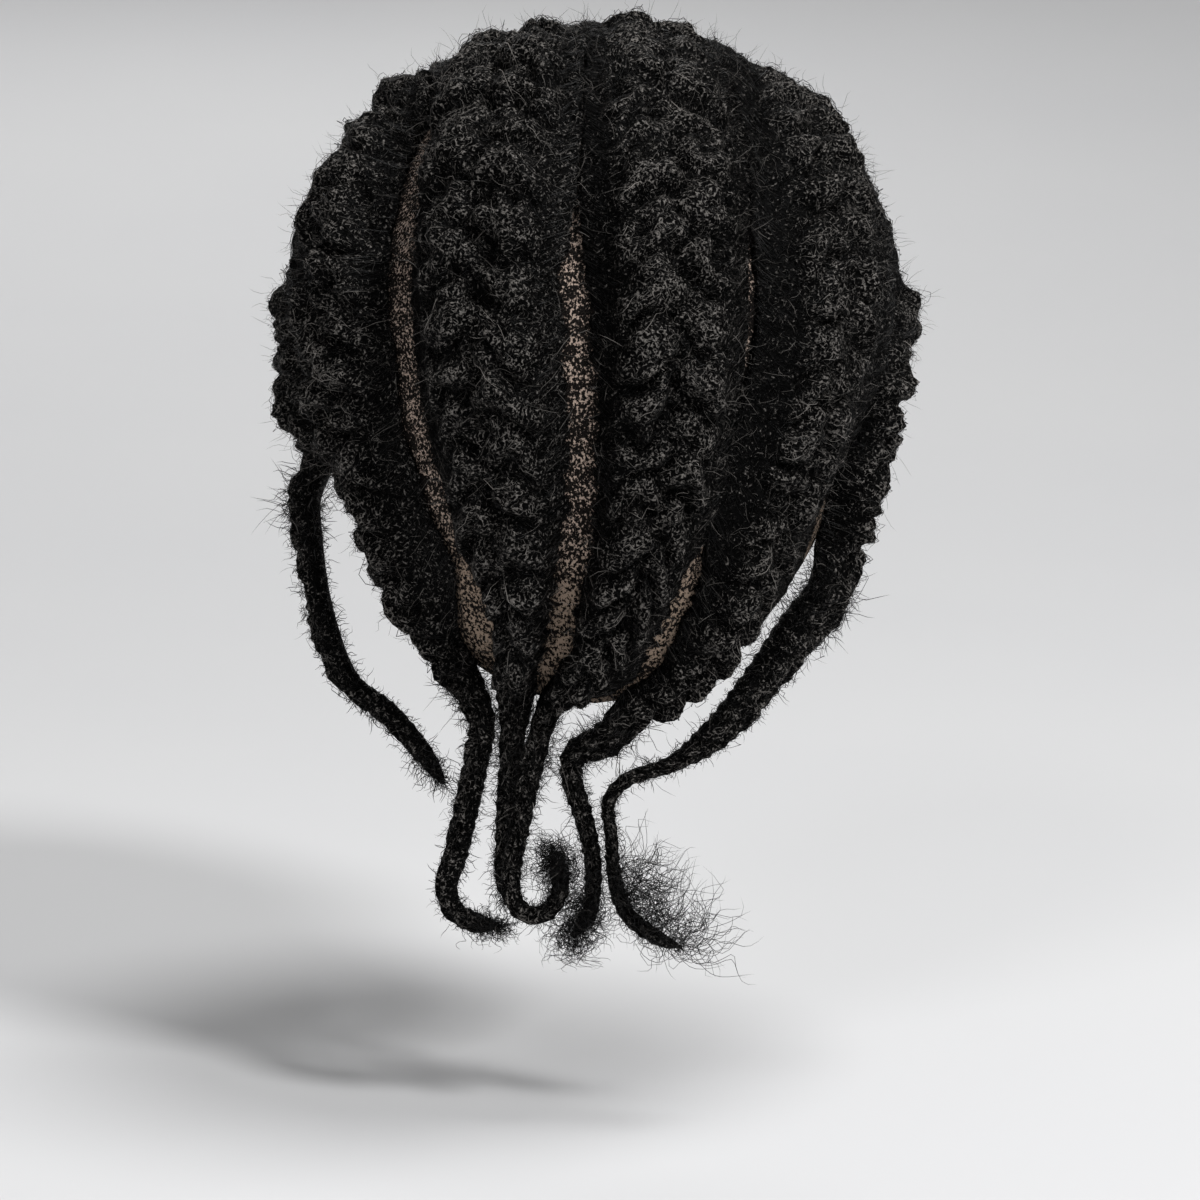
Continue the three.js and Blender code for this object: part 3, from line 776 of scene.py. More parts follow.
@dataclass
class Fibres:
    """Hairs gathered for one mesh. Each is a thin three-sided tube with pointed ends."""

    points: list[Array] = field(default_factory=list)
    widths: list[Array] = field(default_factory=list)
    tones: list[Array] = field(default_factory=list)

    def add(self, points: Array, width: Array, tone: Array) -> None:
        """Adds hairs of one kind.

        Args:
            points: Places along each hair, hairs by places by 3.
            width: Thickness of each hair.
            tone: Lightness of each hair, from 0 to 1.
        """
        self.points.append(points)
        self.widths.append(width)
        self.tones.append(tone)

    def triangles(self) -> int:
        """Number of triangles in all."""
        return sum(len(hairs) * (6 * (hairs.shape[1] - 3) + 6) for hairs in self.points)

    @staticmethod
    def skin(points: Array, width: Array) -> tuple[Array, Array, Array]:
        """Wraps hairs of one kind in tubes.

        Returns:
            The vertices of each hair, and one hair's triangles and four-sided faces.
        """
        count, steps, _ = points.shape
        along = unit(np.gradient(points, axis=1))
        least = np.eye(3)[np.abs(along.mean(axis=1)).argmin(axis=1)]
        aside = unit(np.cross(along, least[:, None, :]))
        other = np.cross(along, aside)
        taper = np.sin(math.pi * np.linspace(0, 1, steps))[1:-1] ** 0.5
        radius = (width[:, None] / 2 * taper)[..., None, None]
        turns = np.arange(3) * 2 * math.pi / 3
        inner = (slice(None), slice(1, -1), None)
        spokes = np.cos(turns)[:, None] * aside[inner] + np.sin(turns)[:, None] * other[inner]
        rings = (points[inner] + radius * spokes).reshape(count, -1, 3)
        vertices = np.concatenate([points[:, :1], rings, points[:, -1:]], axis=1)
        last = vertices.shape[1] - 1
        sides = [(side, (side + 1) % 3) for side in range(3)]
        tips = [(0, 1 + b, 1 + a) for a, b in sides] + [(last, last - 3 + a, last - 3 + b) for a, b in sides]
        walls = [
            (base + a, base + b, base + 3 + b, base + 3 + a)
            for base in range(1, last - 3, 3)
            for a, b in sides
        ]
        return vertices, np.array(tips), np.array(walls)

    def mesh(self, name: str) -> bpy.types.Mesh:
        """Joins all the hairs into one mesh, with each hair's tone as an attribute."""
        places, corners, sizes, tones = [], [], [], []
        start = 0
        for points, width, tone in zip(self.points, self.widths, self.tones):
            vertices, tips, walls = self.skin(points, width)
            count, each, _ = vertices.shape
            shift = (start + np.arange(count) * each)[:, None, None]
            corners.append(np.concatenate([
                (shift + tips).reshape(count, -1), (shift + walls).reshape(count, -1),
            ], axis=1).ravel())
            sizes.append(np.tile(np.repeat([3, 4], [len(tips), len(walls)]), count))
            places.append(vertices.reshape(-1, 3))
            tones.append(np.repeat(tone, each))
            start += count * each
        corner, size = np.concatenate(corners), np.concatenate(sizes)
        mesh = bpy.data.meshes.new(name)
        mesh.vertices.add(start)
        mesh.loops.add(len(corner))
        mesh.polygons.add(len(size))
        mesh.loops.foreach_set("vertex_index", corner.astype(np.int32))
        mesh.polygons.foreach_set("loop_start", (np.cumsum(size) - size).astype(np.int32))
        shape_mesh(mesh, np.concatenate(places))
        mesh.update(calc_edges=True)
        tint_mesh(mesh, "tone", np.concatenate(tones))
        return mesh


@dataclass
class Stations:
    """What holds along a plait at given distances: its frame, its sizes and how far it is free of the cap."""

    data: Array

    def __post_init__(self) -> None:
        """Splits the columns."""
        self.point, self.out, self.across = (self.data[..., at:at + 3] for at in (0, 3, 6))
        self.half, self.height, self.stitch, self.phase = (self.data[..., at] for at in range(9, 13))
        self.reach_plus, self.reach_minus, self.free = (self.data[..., at] for at in range(13, 16))
        self.edge_plus, self.edge_minus = (self.data[..., at] for at in range(16, 18))


@dataclass
class PlaitForm:
    """Shape of one cornrow: its path, its panel of flat hair and the lobes of its plait."""

    table: PlaitTable
    wall: float = 1.0
    seat_gap: float = 0.8
    lace_gap: float = 0.15
    rim_margin: float = 2.0
    panel_most: float = 28.0
    panel_step: float = 0.5
    least_reach: float = 0.6
    foot_share: float = 0.86
    groove_swing: float = 0.12
    gather: float = 30.0
    release_before: float = 3.0
    release_past: float = 12.0
    neck_axis: float = 10.0
    step: float = 0.5
    slant: float = 0.62
    lobe_middle: float = 0.43
    lobe_half: float = 0.66
    lobe_power: float = 2.2
    lobe_round: float = 0.85
    lobe_stray: float = 0.15
    swell_least: float = 0.74
    swell_most: float = 1.12
    tuft: float = 0.5
    tuft_full: float = 10.0
    tuft_fade: float = 5.0
    # Painted light: the share of the tufts' lumps that is added to the painted light of the surface.
    tuft_light: float = 0.1
    # Painted shade of the flat hair: lighter on the plus side, darker on the minus side.
    right_light: float = 0.45
    left_light: float = 0.1
    edge_most: float = 0.8
    ragged: float = 0.7
    drifting: float = 0.6
    panel_foot: float = 0.4
    panel_fill: float = 0.9
    panel_curve: float = 1.5
    edge_fall: float = 0.8
    tail_middle: float = 0.36
    tail_under: float = 0.5
    tail_waist: float = 0.12
    tail_groove: float = 0.78
    tail_groove_rise: float = 0.7
    hairline_before: float = 2.0
    hairline: float = 9.0
    hairline_edge: float = 0.3
    tip: float = 5.0

    def __post_init__(self) -> None:
        """Works out the path and what holds along it."""
        rows = self.table.rows
        corners = np.array([row.point(self.wall + self.seat_gap) for row in rows])
        path, places = self.curve(corners)
        gaps = np.linalg.norm(np.diff(path, axis=0), axis=1)
        run = np.concatenate([[0.0], np.cumsum(gaps)])
        self.length = float(run[-1])
        distance = np.arange(0.0, self.length, self.step)
        point = np.stack([np.interp(distance, run, path[:, axis]) for axis in range(3)], axis=-1)
        along = unit(np.gradient(point, axis=0))
        sizes = SmoothTable([(index, row.width, row.height, row.stitch) for index, row in enumerate(rows)])
        width, height, stitch = sizes.at(np.interp(distance, run, places)).T
        pointed = np.minimum(1.0, (self.length - distance + 0.4) / self.tip) ** 0.6
        half, height = width / 2 * pointed, height * pointed
        phase = np.cumsum(self.step / stitch)
        foot = HEAD.on(point)
        clear = (self.over_rim(foot) <= 0) & (distance > self.length / 2)
        edge = float(distance[clear.argmax()])
        loose = eased(distance, edge - self.release_before, edge + self.release_past)
        gathered = eased(distance, edge - self.gather, edge + self.release_past)
        half = half * (1 + self.tail_waist * loose * np.cos(4 * math.pi * phase))
        away = unit((point - np.array([0.0, self.neck_axis, 0.0])) * np.array([1.0, 1.0, 0.0]))
        out = mixed(HEAD.normal(foot), away, loose[:, None])
        out = unit(out - along * np.sum(out * along, axis=-1, keepdims=True))
        across = np.cross(out, along)
        seed = self.table.seed
        sweep = HEAD.sweep_and_lean(foot)[0]
        reaches, edges = [], []
        for side, parting in ((1.0, self.table.right), (-1.0, self.table.left)):
            number = seed + int(30 + 10 * side)
            torn = self.ragged * Lumps(number, 2.6).at(distance, 0 * distance)
            torn += self.drifting * Lumps(number + 5, 18.0).at(distance, 0 * distance)
            if parting is not None:
                torn *= BARE[parting].torn(sweep)
                edges.append(BARE[parting].edge(sweep))
            else:
                edges.append(np.full(len(distance), self.hairline_edge))
            flat = np.maximum(self.panel_reach(foot, across, side) + torn, half * self.least_reach)
            reaches.append(mixed(flat, half, gathered))
        self.data = np.column_stack([
            point, out, across, half, height, stitch, phase, *reaches, loose, *edges,
        ])
        each = (int(phase[-1]) + 4, 2)
        self.swell = np.random.default_rng(seed).uniform(self.swell_least, self.swell_most, each)
        self.stray, self.tufts = Lumps(seed, 9.0), Lumps(seed + 50, 5.0)

    @staticmethod
    def curve(corners: Array, steps: int = 60) -> tuple[Array, Array]:
        """Smooth path through corners, eased by their distances.

        Returns:
            Points along the path, and the place of each in the table's rows.
        """
        before = 2 * corners[0] - corners[1]
        after = 2 * corners[-1] - corners[-2]
        held = np.vstack([before, corners, after])
        points, places = [], []
        for index in range(len(corners) - 1):
            a, b, c, d = held[index:index + 4]
            first, middle, last = (math.sqrt(np.linalg.norm(gap)) for gap in (b - a, c - b, d - c))
            leave = ((b - a) / first - (c - a) / (first + middle) + (c - b) / middle) * middle
            arrive = ((c - b) / middle - (d - b) / (middle + last) + (d - c) / last) * middle
            t = np.linspace(0, 1, steps, endpoint=False)[:, None]
            bend = 3 * (c - b) - 2 * leave - arrive
            twist = 2 * (b - c) + leave + arrive
            points.append(b + t * (leave + t * (bend + t * twist)))
            places.append(index + t[:, 0])
        points.append(corners[-1:])
        places.append(np.array([len(corners) - 1.0]))
        return np.concatenate(points), np.concatenate(places)

    @staticmethod
    def over_rim(points: Array) -> Array:
        """Height of points over the cap's edge."""
        bearing = np.degrees(np.arctan2(np.abs(points[..., 0]), -points[..., 1]))
        return points[..., 2] + RIM.at(bearing)[..., 0]

    def panel_reach(self, foot: Array, across: Array, side: float) -> Array:
        """How far the flat hair reaches to one side: to a parting, the cap's edge or its greatest width."""
        widths = np.arange(self.panel_step, self.panel_most - self.panel_step / 2, self.panel_step)
        points = HEAD.on(foot[:, None] + across[:, None] * side * widths[:, None])
        sweep, lean = HEAD.sweep_and_lean(points)
        partings = PARTINGS.at(sweep)
        span = np.linalg.norm(HEAD.offset(points), axis=-1)
        inside = self.over_rim(points) > self.rim_margin
        for parting, towards in ((self.table.left, -1.0), (self.table.right, 1.0)):
            if parting is not None:
                bare = np.degrees(BARE[parting].width(sweep) / span)
                inside &= towards * (lean - partings[..., parting.value]) > bare
        reach = np.logical_and.accumulate(inside, axis=1).sum(axis=1) * self.panel_step
        weights = np.exp(-0.5 * (np.arange(-16, 17) / 6.0) ** 2)
        return np.convolve(np.pad(reach, 16, mode="edge"), weights / weights.sum(), mode="valid")

    def at(self, distance: Array) -> Stations:
        """Reads what holds at given distances along the path."""
        place = np.clip(distance / self.step, 0, len(self.data) - 1.001)
        index = place.astype(int)
        share = (place - index)[..., None]
        return Stations(mixed(self.data[index], self.data[index + 1], share))

    def distance(self, phase: Array) -> Array:
        """Distance along the path at which the plait has made a number of stitches."""
        return np.interp(phase, self.data[:, 12], np.arange(len(self.data)) * self.step)

    def lobes(self, here: Stations, offset: Array) -> tuple[Array, Array, Array, Array, Array]:
        """Where points lie in the lobes of the plait.

        Args:
            here: What holds along the plait at the points.
            offset: Distance of the points to the side of the path.

        Returns:
            The side as a mask, the share out from the groove, the lobe's number, the share along the lobe's
            own width, and the half width of the plait on that side.
        """
        groove = -self.groove_swing * np.cos(2 * math.pi * here.phase) * here.half
        plus = offset >= groove
        reach = np.where(plus, here.reach_plus, here.reach_minus)
        core = np.minimum(here.half, reach * self.foot_share)
        out = np.abs(offset - groove) / np.maximum(np.where(plus, core - groove, core + groove), 0.1)
        stray = self.lobe_stray * self.stray.at(here.phase * here.stitch, offset)
        turns = here.phase - self.slant * (out - 0.5) + np.where(plus, 0.5, 0.0) + stray
        number = np.floor(turns)
        return plus, out, number, turns - number, core

    def relief(self, distance: Array, offset: Array) -> tuple[Array, Array]:
        """Form of the hair's upper surface.

        Args:
            distance: Distances along the plait.
            offset: Distances to the side of its path.

        Returns:
            The height over the underside of the plait, and the painted light for the hair's colour, from 0 in
            the creases to 1 on the tops of the lobes, with the flat hair at a fixed painted level on each
            side.
        """
        here = self.at(distance)
        plus, out, number, share, core = self.lobes(here, offset)
        reach = np.where(plus, here.reach_plus, here.reach_minus)
        dome = np.maximum(0.0, 1 - np.abs(2 * share - 1) ** self.lobe_power) ** self.lobe_round
        crown = np.sqrt(np.maximum(0.0, 1 - ((out - self.lobe_middle) / self.lobe_half) ** 2))
        index = np.clip(number.astype(int) + 1, 0, len(self.swell) - 1)
        lobe = (1 - self.table.crease * (1 - dome)) * self.swell[index, plus.astype(int)]
        inward = np.clip((reach - np.abs(offset)) / np.maximum(reach - core, 0.1), 0, 1) ** self.panel_curve
        edge = np.minimum(np.where(plus, here.edge_plus, here.edge_minus), here.height * self.edge_most)
        foot = np.maximum(here.height * self.panel_foot, edge * self.panel_fill)
        panel = mixed(edge, foot, inward)
        lobed = here.height * crown * lobe
        bare = np.clip(np.abs(offset) - reach, 0, None) * self.edge_fall
        seated = np.maximum(lobed, panel) * eased(distance, -self.hairline_before, self.hairline)
        seated = np.maximum(seated - bare, self.lace_gap - self.seat_gap)
        round_ = np.sqrt(np.maximum(0.0, 1 - (offset / here.half) ** 2))
        groove = np.minimum(1.0, self.tail_groove + self.tail_groove_rise * out)
        hanging = here.height * mixed(self.tail_middle, 1.0, round_ * lobe * groove)
        whole = mixed(seated, hanging, here.free)
        tufts = self.tufts.at(distance, offset)
        raised = self.tuft * tufts * np.clip(here.height / self.tuft_full, 0, 1)
        height = whole + raised * np.clip(whole / self.tuft_fade, 0, 1) * mixed(1.0, round_, here.free)
        # Painted light and shade for the colour: lobe tops light, creases and the minus flank dark, a little
        # more on the tufts.
        flank = np.where(plus, self.right_light, self.left_light)
        light = mixed(np.where(lobed > panel, crown * dome, flank), round_ * dome, here.free)
        return height, np.clip(light + self.tuft_light * tufts, 0.0, 1.0)

    def rise(self, distance: Array, offset: Array) -> Array:
        """Height of the hair's upper surface over the underside of the plait."""
        return self.relief(distance, offset)[0]

    def light(self, distance: Array, offset: Array) -> Array:
        """Painted light of the hair's upper surface, from 0 in the creases to 1 on the tops of the lobes."""
        return self.relief(distance, offset)[1]

    def underside(self, distance: Array, offset: Array) -> Array:
        """Height of the hair's lower surface, below the seat where it lies on the lace."""
        here = self.at(distance)
        round_ = np.sqrt(np.maximum(0.0, 1 - (offset / here.half) ** 2))
        hanging = here.height * (self.tail_middle - self.tail_under * round_)
        return mixed(self.lace_gap - self.seat_gap, hanging, here.free)

    def place(self, distance: Array, offset: Array, rise: Array) -> Array:
        """Points by distance along the plait, offset to its side and height over its underside."""
        here = self.at(distance)
        foot = HEAD.on(HEAD.on(here.point) + here.across * offset[..., None])
        on_cap = HEAD.lifted(foot, self.wall + self.seat_gap + rise)
        hanging = here.point + here.across * offset[..., None] + here.out * rise[..., None]
        return mixed(on_cap, hanging, here.free[..., None])

    def surface(self, distance: Array, offset: Array, lift: Array | float = 0.0) -> Array:
        """Points on the hair's upper surface, or a lift above it."""
        return self.place(distance, offset, self.rise(distance, offset) + lift)

    def normal(self, distance: Array, offset: Array) -> Array:
        """Directions straight out of the upper surface."""
        ahead = self.surface(distance + 0.4, offset) - self.surface(distance - 0.4, offset)
        aside = self.surface(distance, offset + 0.4) - self.surface(distance, offset - 0.4)
        return unit(np.cross(ahead, aside))


@dataclass
class Cornrow:
    """One cornrow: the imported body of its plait, and the single hairs on it.

    A density is a number of hairs to a square millimetre, or to a millimetre for frizz. A pair named long is
    a range of lengths. A pair named tone shapes the spread of tones, and is their range for flyaways.
    """

    form: PlaitForm
    packed: bpy.types.Material
    single: bpy.types.Material
    ring_gap: float = 1.7
    sides: int = 60
    top_share: float = 0.78
    plait_share: float = 0.66
    kink_density: float = 0.46
    lobe_density: float = 0.13
    panel_density: float = 0.03
    root_density: float = 0.9
    fly_density: float = 0.11
    frizz_density: float = 13.0
    top_frizz: float = 3.0
    top_stretch: float = 12.0
    thick: tuple[float, float] = (0.6, 1.2)
    kink_hair: float = 0.27
    kink_long: tuple[float, float] = (0.8, 2.1)
    kink_tone: tuple[float, float] = (0.42, 1.7)
    kink_under: float = 0.45
    lobe_hair: float = 0.22
    lobe_long: tuple[float, float] = (5.0, 11.0)
    lobe_tone: tuple[float, float] = (0.5, 1.6)
    panel_hair: float = 0.2
    panel_long: tuple[float, float] = (7.0, 16.0)
    panel_turn: tuple[float, float] = (52.0, 9.0)
    panel_tone: tuple[float, float] = (0.8, 3.4)
    root_width: float = 1.6
    root_past: tuple[float, float] = (-0.6, 2.8)
    fly_hair: float = 0.1
    fly_most: float = 9.0
    fly_tone: tuple[float, float] = (0.2, 0.9)
    frizz_hair: tuple[float, float] = (0.12, 0.24)
    frizz_tone: tuple[float, float] = (0.7, 2.6)
    tail_hair: float = 0.18
    tail_tone: tuple[float, float] = (0.5, 3.0)
    fall_free: float = 4.0
    fall_most: float = 8.0

    @property
    def name(self) -> str:
        """Name of the cornrow."""
        return self.form.table.name

    def offsets(self, distance: Array, share: Array) -> Array:
        """Offsets to the side of the path by a share across the cornrow, from -1 to 1."""
        here = self.form.at(distance)
        reach = np.where(share >= 0, here.reach_plus, here.reach_minus)
        core = np.minimum(here.half, reach * self.form.foot_share)
        size = np.abs(share)
        outer = (size - self.plait_share) / (1 - self.plait_share)
        wide = np.where(size < self.plait_share, core * size / self.plait_share, mixed(core, reach, outer))
        return np.sign(share) * wide

    def build_core(self) -> bpy.types.Object:
        """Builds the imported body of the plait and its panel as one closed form."""
        form = self.form
        mesh = rolled_tube(f"plait_{self.name}", round(form.length / self.ring_gap), self.sides, True)
        along, turn = tube_places(mesh)
        distance = along * form.length
        top = turn <= self.top_share
        share = np.where(
            top, 1 - 2 * turn / self.top_share, -1 + 2 * (turn - self.top_share) / (1 - self.top_share),
        )
        offset = self.offsets(distance, share)
        height, light = form.relief(distance, offset)
        rise = np.where(top, height, form.underside(distance, offset))
        shape_mesh(mesh, form.place(distance, offset, rise))
        # The painted light and shade go to the core's colour as an attribute.
        tint_mesh(mesh, "light", light)
        face_outward(mesh)
        body = piece(mesh, self.packed)
        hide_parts(f"cornrow_{self.name}")
        return body

    def spots(self, chance: np.random.Generator, density: float, widths: Array) -> Array:
        """Seeded distances along the cornrow, so many to a square millimetre of a width that varies."""
        step = self.form.step
        weight = np.maximum(widths, 0) * step
        count = int(weight.sum() * density)
        run = np.concatenate([[0.0], np.cumsum(weight)])
        return np.interp(chance.uniform(0, run[-1], count), run, np.arange(len(run)) * step)

    def kinks(self, fibres: Fibres, chance: np.random.Generator, steps: int = 3) -> None:
        """Short arcs of kinky hair that stand out all over, in small locks that curl the same way."""
        form = self.form
        start = self.spots(chance, self.kink_density, form.data[:, 13] + form.data[:, 14])
        count = len(start)
        offset = self.offsets(start, chance.uniform(-1, 1, count))
        here = form.at(start)
        under = (here.free > 0.5) & (chance.random(count) < self.kink_under)
        rise = np.where(under, form.underside(start, offset), form.rise(start, offset))
        base = form.place(start, offset, rise)
        out = np.where(under[:, None], -here.out, form.normal(start, offset))
        ahead = unit(np.cross(here.across, out))
        aside = np.cross(out, ahead)
        locks, shine = Lumps(form.table.seed + 70, 6.0), Lumps(form.table.seed + 90, 8.0)
        turn = np.sign(offset) * 0.9 + 0.9 * locks.at(start, offset) + chance.normal(0, 0.8, count)
        way = ahead * np.cos(turn)[:, None] + aside * np.sin(turn)[:, None]
        bow = np.cross(out, way) * (chance.normal(0, 0.7, count) * self.reach_share(here))[:, None]
        high = chance.gamma(2.0, 0.34, count) * self.reach_share(here)
        long = chance.uniform(*self.kink_long, count) * self.reach_share(here)
        t = np.linspace(0, 1, steps)[None, :, None]
        arc = np.sin(math.pi * t)
        points = base[:, None] + way[:, None] * long[:, None, None] * (t - 0.5)
        points += bow[:, None] * arc + out[:, None] * (high[:, None, None] * arc - 0.2)
        # Painted light: kinks on lobe tops and in patches of shine get lighter tones, those in creases darker
        # ones.
        lit = 0.1 + 1.2 * form.light(start, offset) ** 1.8 + 0.3 * shine.at(start, offset)
        tone = np.clip(chance.beta(*self.kink_tone, count) * np.clip(lit, 0.05, 2.0), 0, 1)
        fibres.add(points, chance.uniform(*self.thick, count) * self.kink_hair, tone)

    @staticmethod
    def reach_share(here: Stations) -> Array:
        """Share of a hair's full size on thinner parts of the plait."""
        return np.clip(here.half / 8, 0.6, 1.0)

    def lobe_hairs(self, fibres: Fibres, chance: np.random.Generator, steps: int = 6) -> None:
        """Longer waved hairs that lie along the lobes, from the groove outward and down."""
        form = self.form
        start = self.spots(chance, self.lobe_density, 2 * form.data[:, 9])
        count = len(start)
        side = chance.choice([-1.0, 1.0], count)
        here = form.at(start)
        t = np.linspace(-0.5, 0.5, steps)
        long = chance.uniform(*self.lobe_long, count) * self.reach_share(here)
        slope = form.slant * here.stitch / here.half
        out = chance.uniform(0.0, 1.0, count)[:, None] + (long / here.half / np.hypot(1, slope))[:, None] * t
        wave = np.sin(t * chance.uniform(6, 14, count)[:, None] + chance.uniform(0, 6.3, count)[:, None])
        kink = wave * chance.uniform(0.3, 1.1, count)[:, None] / here.stitch[:, None]
        drift = chance.normal(0, 0.5, count)[:, None] * t * (long / here.stitch)[:, None]
        distance = form.distance(here.phase[:, None] + form.slant * out + kink + drift)
        there = form.at(distance)
        reach = np.where(side[:, None] > 0, there.reach_plus, there.reach_minus)
        core = np.minimum(there.half, reach * form.foot_share)
        offset = side[:, None] * core * np.clip(np.abs(out), 0, 1.1)
        arch = np.cos(t * math.pi) * chance.exponential(0.7, count)[:, None] - 0.1
        arch += chance.normal(0, 0.2, (count, steps))
        points = form.surface(distance, offset, arch)
        middle = steps // 2
        # Painted light: hairs over lobe tops get lighter tones, those in creases darker ones.
        lit = 0.15 + 1.1 * form.light(distance[:, middle], offset[:, middle])
        tone = np.clip(chance.beta(*self.lobe_tone, count) * lit, 0, 1)
        fibres.add(points, chance.uniform(*self.thick, count) * self.lobe_hair, tone)

    def panel_hairs(self, fibres: Fibres, chance: np.random.Generator, rooted: bool, steps: int = 5) -> None:
        """Flat hairs drawn from the partings to the plait, or from the lace itself where they are rooted."""
        form = self.form
        for side, column in ((1.0, 13), (-1.0, 14)):
            reach = form.data[:, column]
            core = np.minimum(form.data[:, 9], reach * form.foot_share)
            flat = np.where(form.data[:, 15] < 0.5, reach - core, 0)
            if rooted:
                start = self.spots(chance, self.root_density, np.where(flat > 0, self.root_width, 0))
            else:
                start = self.spots(chance, self.panel_density, flat)
            count = len(start)
            edge = np.interp(start, np.arange(len(reach)) * form.step, reach)
            inner = np.interp(start, np.arange(len(reach)) * form.step, core)
            if rooted:
                outer = edge + chance.uniform(*self.root_past, count)
            else:
                outer = mixed(inner, edge, chance.uniform(0.1, 1.0, count))
            turn = np.radians(chance.normal(*self.panel_turn, count))
            long = np.minimum(chance.uniform(*self.panel_long, count), (outer - inner * 0.85) / np.sin(turn))
            t = np.linspace(0, 1, steps)
            wave = np.sin(t * chance.uniform(5, 12, count)[:, None] + chance.uniform(0, 6.3, count)[:, None])
            sway = wave * chance.uniform(0.2, 0.8, count)[:, None] * t
            distance = start[:, None] + (long * np.cos(turn))[:, None] * t + sway
            offset = side * (outer[:, None] - (long * np.sin(turn))[:, None] * t)
            arch = np.sin(t * math.pi) * chance.exponential(0.35, count)[:, None] + 0.02
            points = form.surface(distance, offset, arch)
            width = chance.uniform(*self.thick, count) * self.panel_hair
            fibres.add(points, width, chance.beta(*self.panel_tone, count))

    @staticmethod
    def curls(
        chance: np.random.Generator,
        base: Array,
        way: Array,
        long: Array,
        curl: Array,
        turns: Array,
        steps: int,
    ) -> Array:
        """Loose curling hairs.

        Args:
            chance: Seeded source of the differences between hairs.
            base: Where each hair starts.
            way: Direction in which it goes.
            long: Its length from end to end.
            curl: Radius of its curl.
            turns: Number of turns of its curl.
            steps: Number of places along each hair.

        Returns:
            Places along each hair.
        """
        count = len(base)
        t = np.linspace(0, 1, steps)[None, :, None]
        aside = unit(np.cross(way, unit(chance.normal(size=(count, 3)))))
        other = np.cross(way, aside)
        start = chance.uniform(0, 2 * math.pi, count)[:, None, None]
        turn = start + t * (turns * 2 * math.pi)[:, None, None]
        ring = (np.cos(turn) - np.cos(start)) * aside[:, None]
        ring += (np.sin(turn) - np.sin(start)) * other[:, None]
        bow = aside[:, None] * (long * chance.normal(0, 0.25, count))[:, None, None] * t ** 2
        straight = base[:, None] + way[:, None] * long[:, None, None] * t
        return straight + bow + ring * curl[:, None, None] * t ** 0.5

    def flyaways(self, fibres: Fibres, chance: np.random.Generator, steps: int = 5) -> None:
        """Fine stray hairs that stand off the surface and soften its outline."""
        form = self.form
        start = self.spots(chance, self.fly_density, form.data[:, 13] + form.data[:, 14])
        count = len(start)
        offset = self.offsets(start, chance.uniform(-1, 1, count))
        base = form.surface(start, offset, -0.3)
        jitter = chance.normal(0, 0.75, (count, 3))
        way = unit(form.normal(start, offset) + jitter)
        size = self.reach_share(form.at(start))
        long = np.minimum(chance.gamma(3.0, 1.5, count) * size + 1.0, self.fly_most)
        curl = chance.uniform(0.2, 1.1, count) * size
        points = self.curls(chance, base, way, long, curl, chance.uniform(0.3, 1.4, count), steps)
        fibres.add(points, np.full(count, self.fly_hair), chance.uniform(*self.fly_tone, count))

    def frizz(self, fibres: Fibres, chance: np.random.Generator, steps: int = 5) -> None:
        """Short curls that stand off a tail all round it, so many to a millimetre of its length."""
        form = self.form
        free = form.data[:, 15]
        hung = np.cumsum(free) * form.step
        top = self.top_frizz * np.exp(-hung / self.top_stretch)
        start = self.spots(chance, self.frizz_density, free * (1 + top))
        count = len(start)
        here = form.at(start)
        turn = chance.uniform(0, 2 * math.pi, count)
        aside, up = np.cos(turn), np.sin(turn)
        middle = form.tail_middle * here.height
        rise = middle + up * np.where(up > 0, here.height - middle, form.tail_under * here.height)
        base = form.place(start, aside * here.half * 0.9, rise * 0.9)
        along = unit(np.cross(here.across, here.out))
        way = here.across * aside[:, None] + here.out * up[:, None]
        way += along * chance.normal(0, 1.1, count)[:, None]
        longer = 0.5 * np.interp(start, np.arange(len(top)) * form.step, top)
        long = chance.gamma(2.5, 0.8, count) * (1 + longer)
        curl = chance.uniform(0.2, 0.8, count)
        points = self.curls(chance, base, unit(way), long, curl, chance.uniform(0.4, 1.6, count), steps)
        fibres.add(points, chance.uniform(*self.frizz_hair, count), chance.beta(*self.frizz_tone, count))

    def tail_hairs(self, fibres: Fibres, chance: np.random.Generator, steps: int = 13) -> None:
        """Loose hairs at the end of the tail."""
        form, end = self.form, self.form.table.end
        start = form.length - chance.uniform(0, end.stretch, end.hairs)
        offset = form.at(start).half * chance.uniform(-0.9, 0.9, end.hairs)
        base = form.surface(start, offset, -0.3)
        spread = chance.normal(0, end.spread, (end.hairs, 3)) * np.array([1, 0.5, 1])
        way = unit(unit(np.array(end.way)) + spread)
        long = end.length * chance.uniform(0.35, 1.0, end.hairs)
        curl = end.curl * chance.uniform(0.3, 1.3, end.hairs)
        turns = end.turns * chance.uniform(0.4, 1.3, end.hairs)
        points = self.curls(chance, base, way, long, curl, turns, steps)
        below = np.maximum(form.data[:, 2].min() - self.fall_free - points[..., 2], 0)
        points[..., 2] += below - self.fall_most * (1 - np.exp(-below / self.fall_most))
        fibres.add(points, np.full(end.hairs, self.tail_hair), chance.beta(*self.tail_tone, end.hairs))

    def build_hairs(self) -> bpy.types.Object:
        """Builds the single hairs as one mesh."""
        chance = np.random.default_rng(100 + self.form.table.seed)
        fibres = Fibres()
        self.kinks(fibres, chance)
        self.lobe_hairs(fibres, chance)
        self.panel_hairs(fibres, chance, rooted=False)
        self.panel_hairs(fibres, chance, rooted=True)
        self.flyaways(fibres, chance)
        self.frizz(fibres, chance)
        self.tail_hairs(fibres, chance)
        log.info("%s: %d triangles of single hairs", self.name, fibres.triangles())
        return piece(fibres.mesh(f"hairs_{self.name}"), self.single)

    def build(self) -> list[bpy.types.Object]:
        """Builds the whole cornrow."""
        return [self.build_core(), self.build_hairs()]


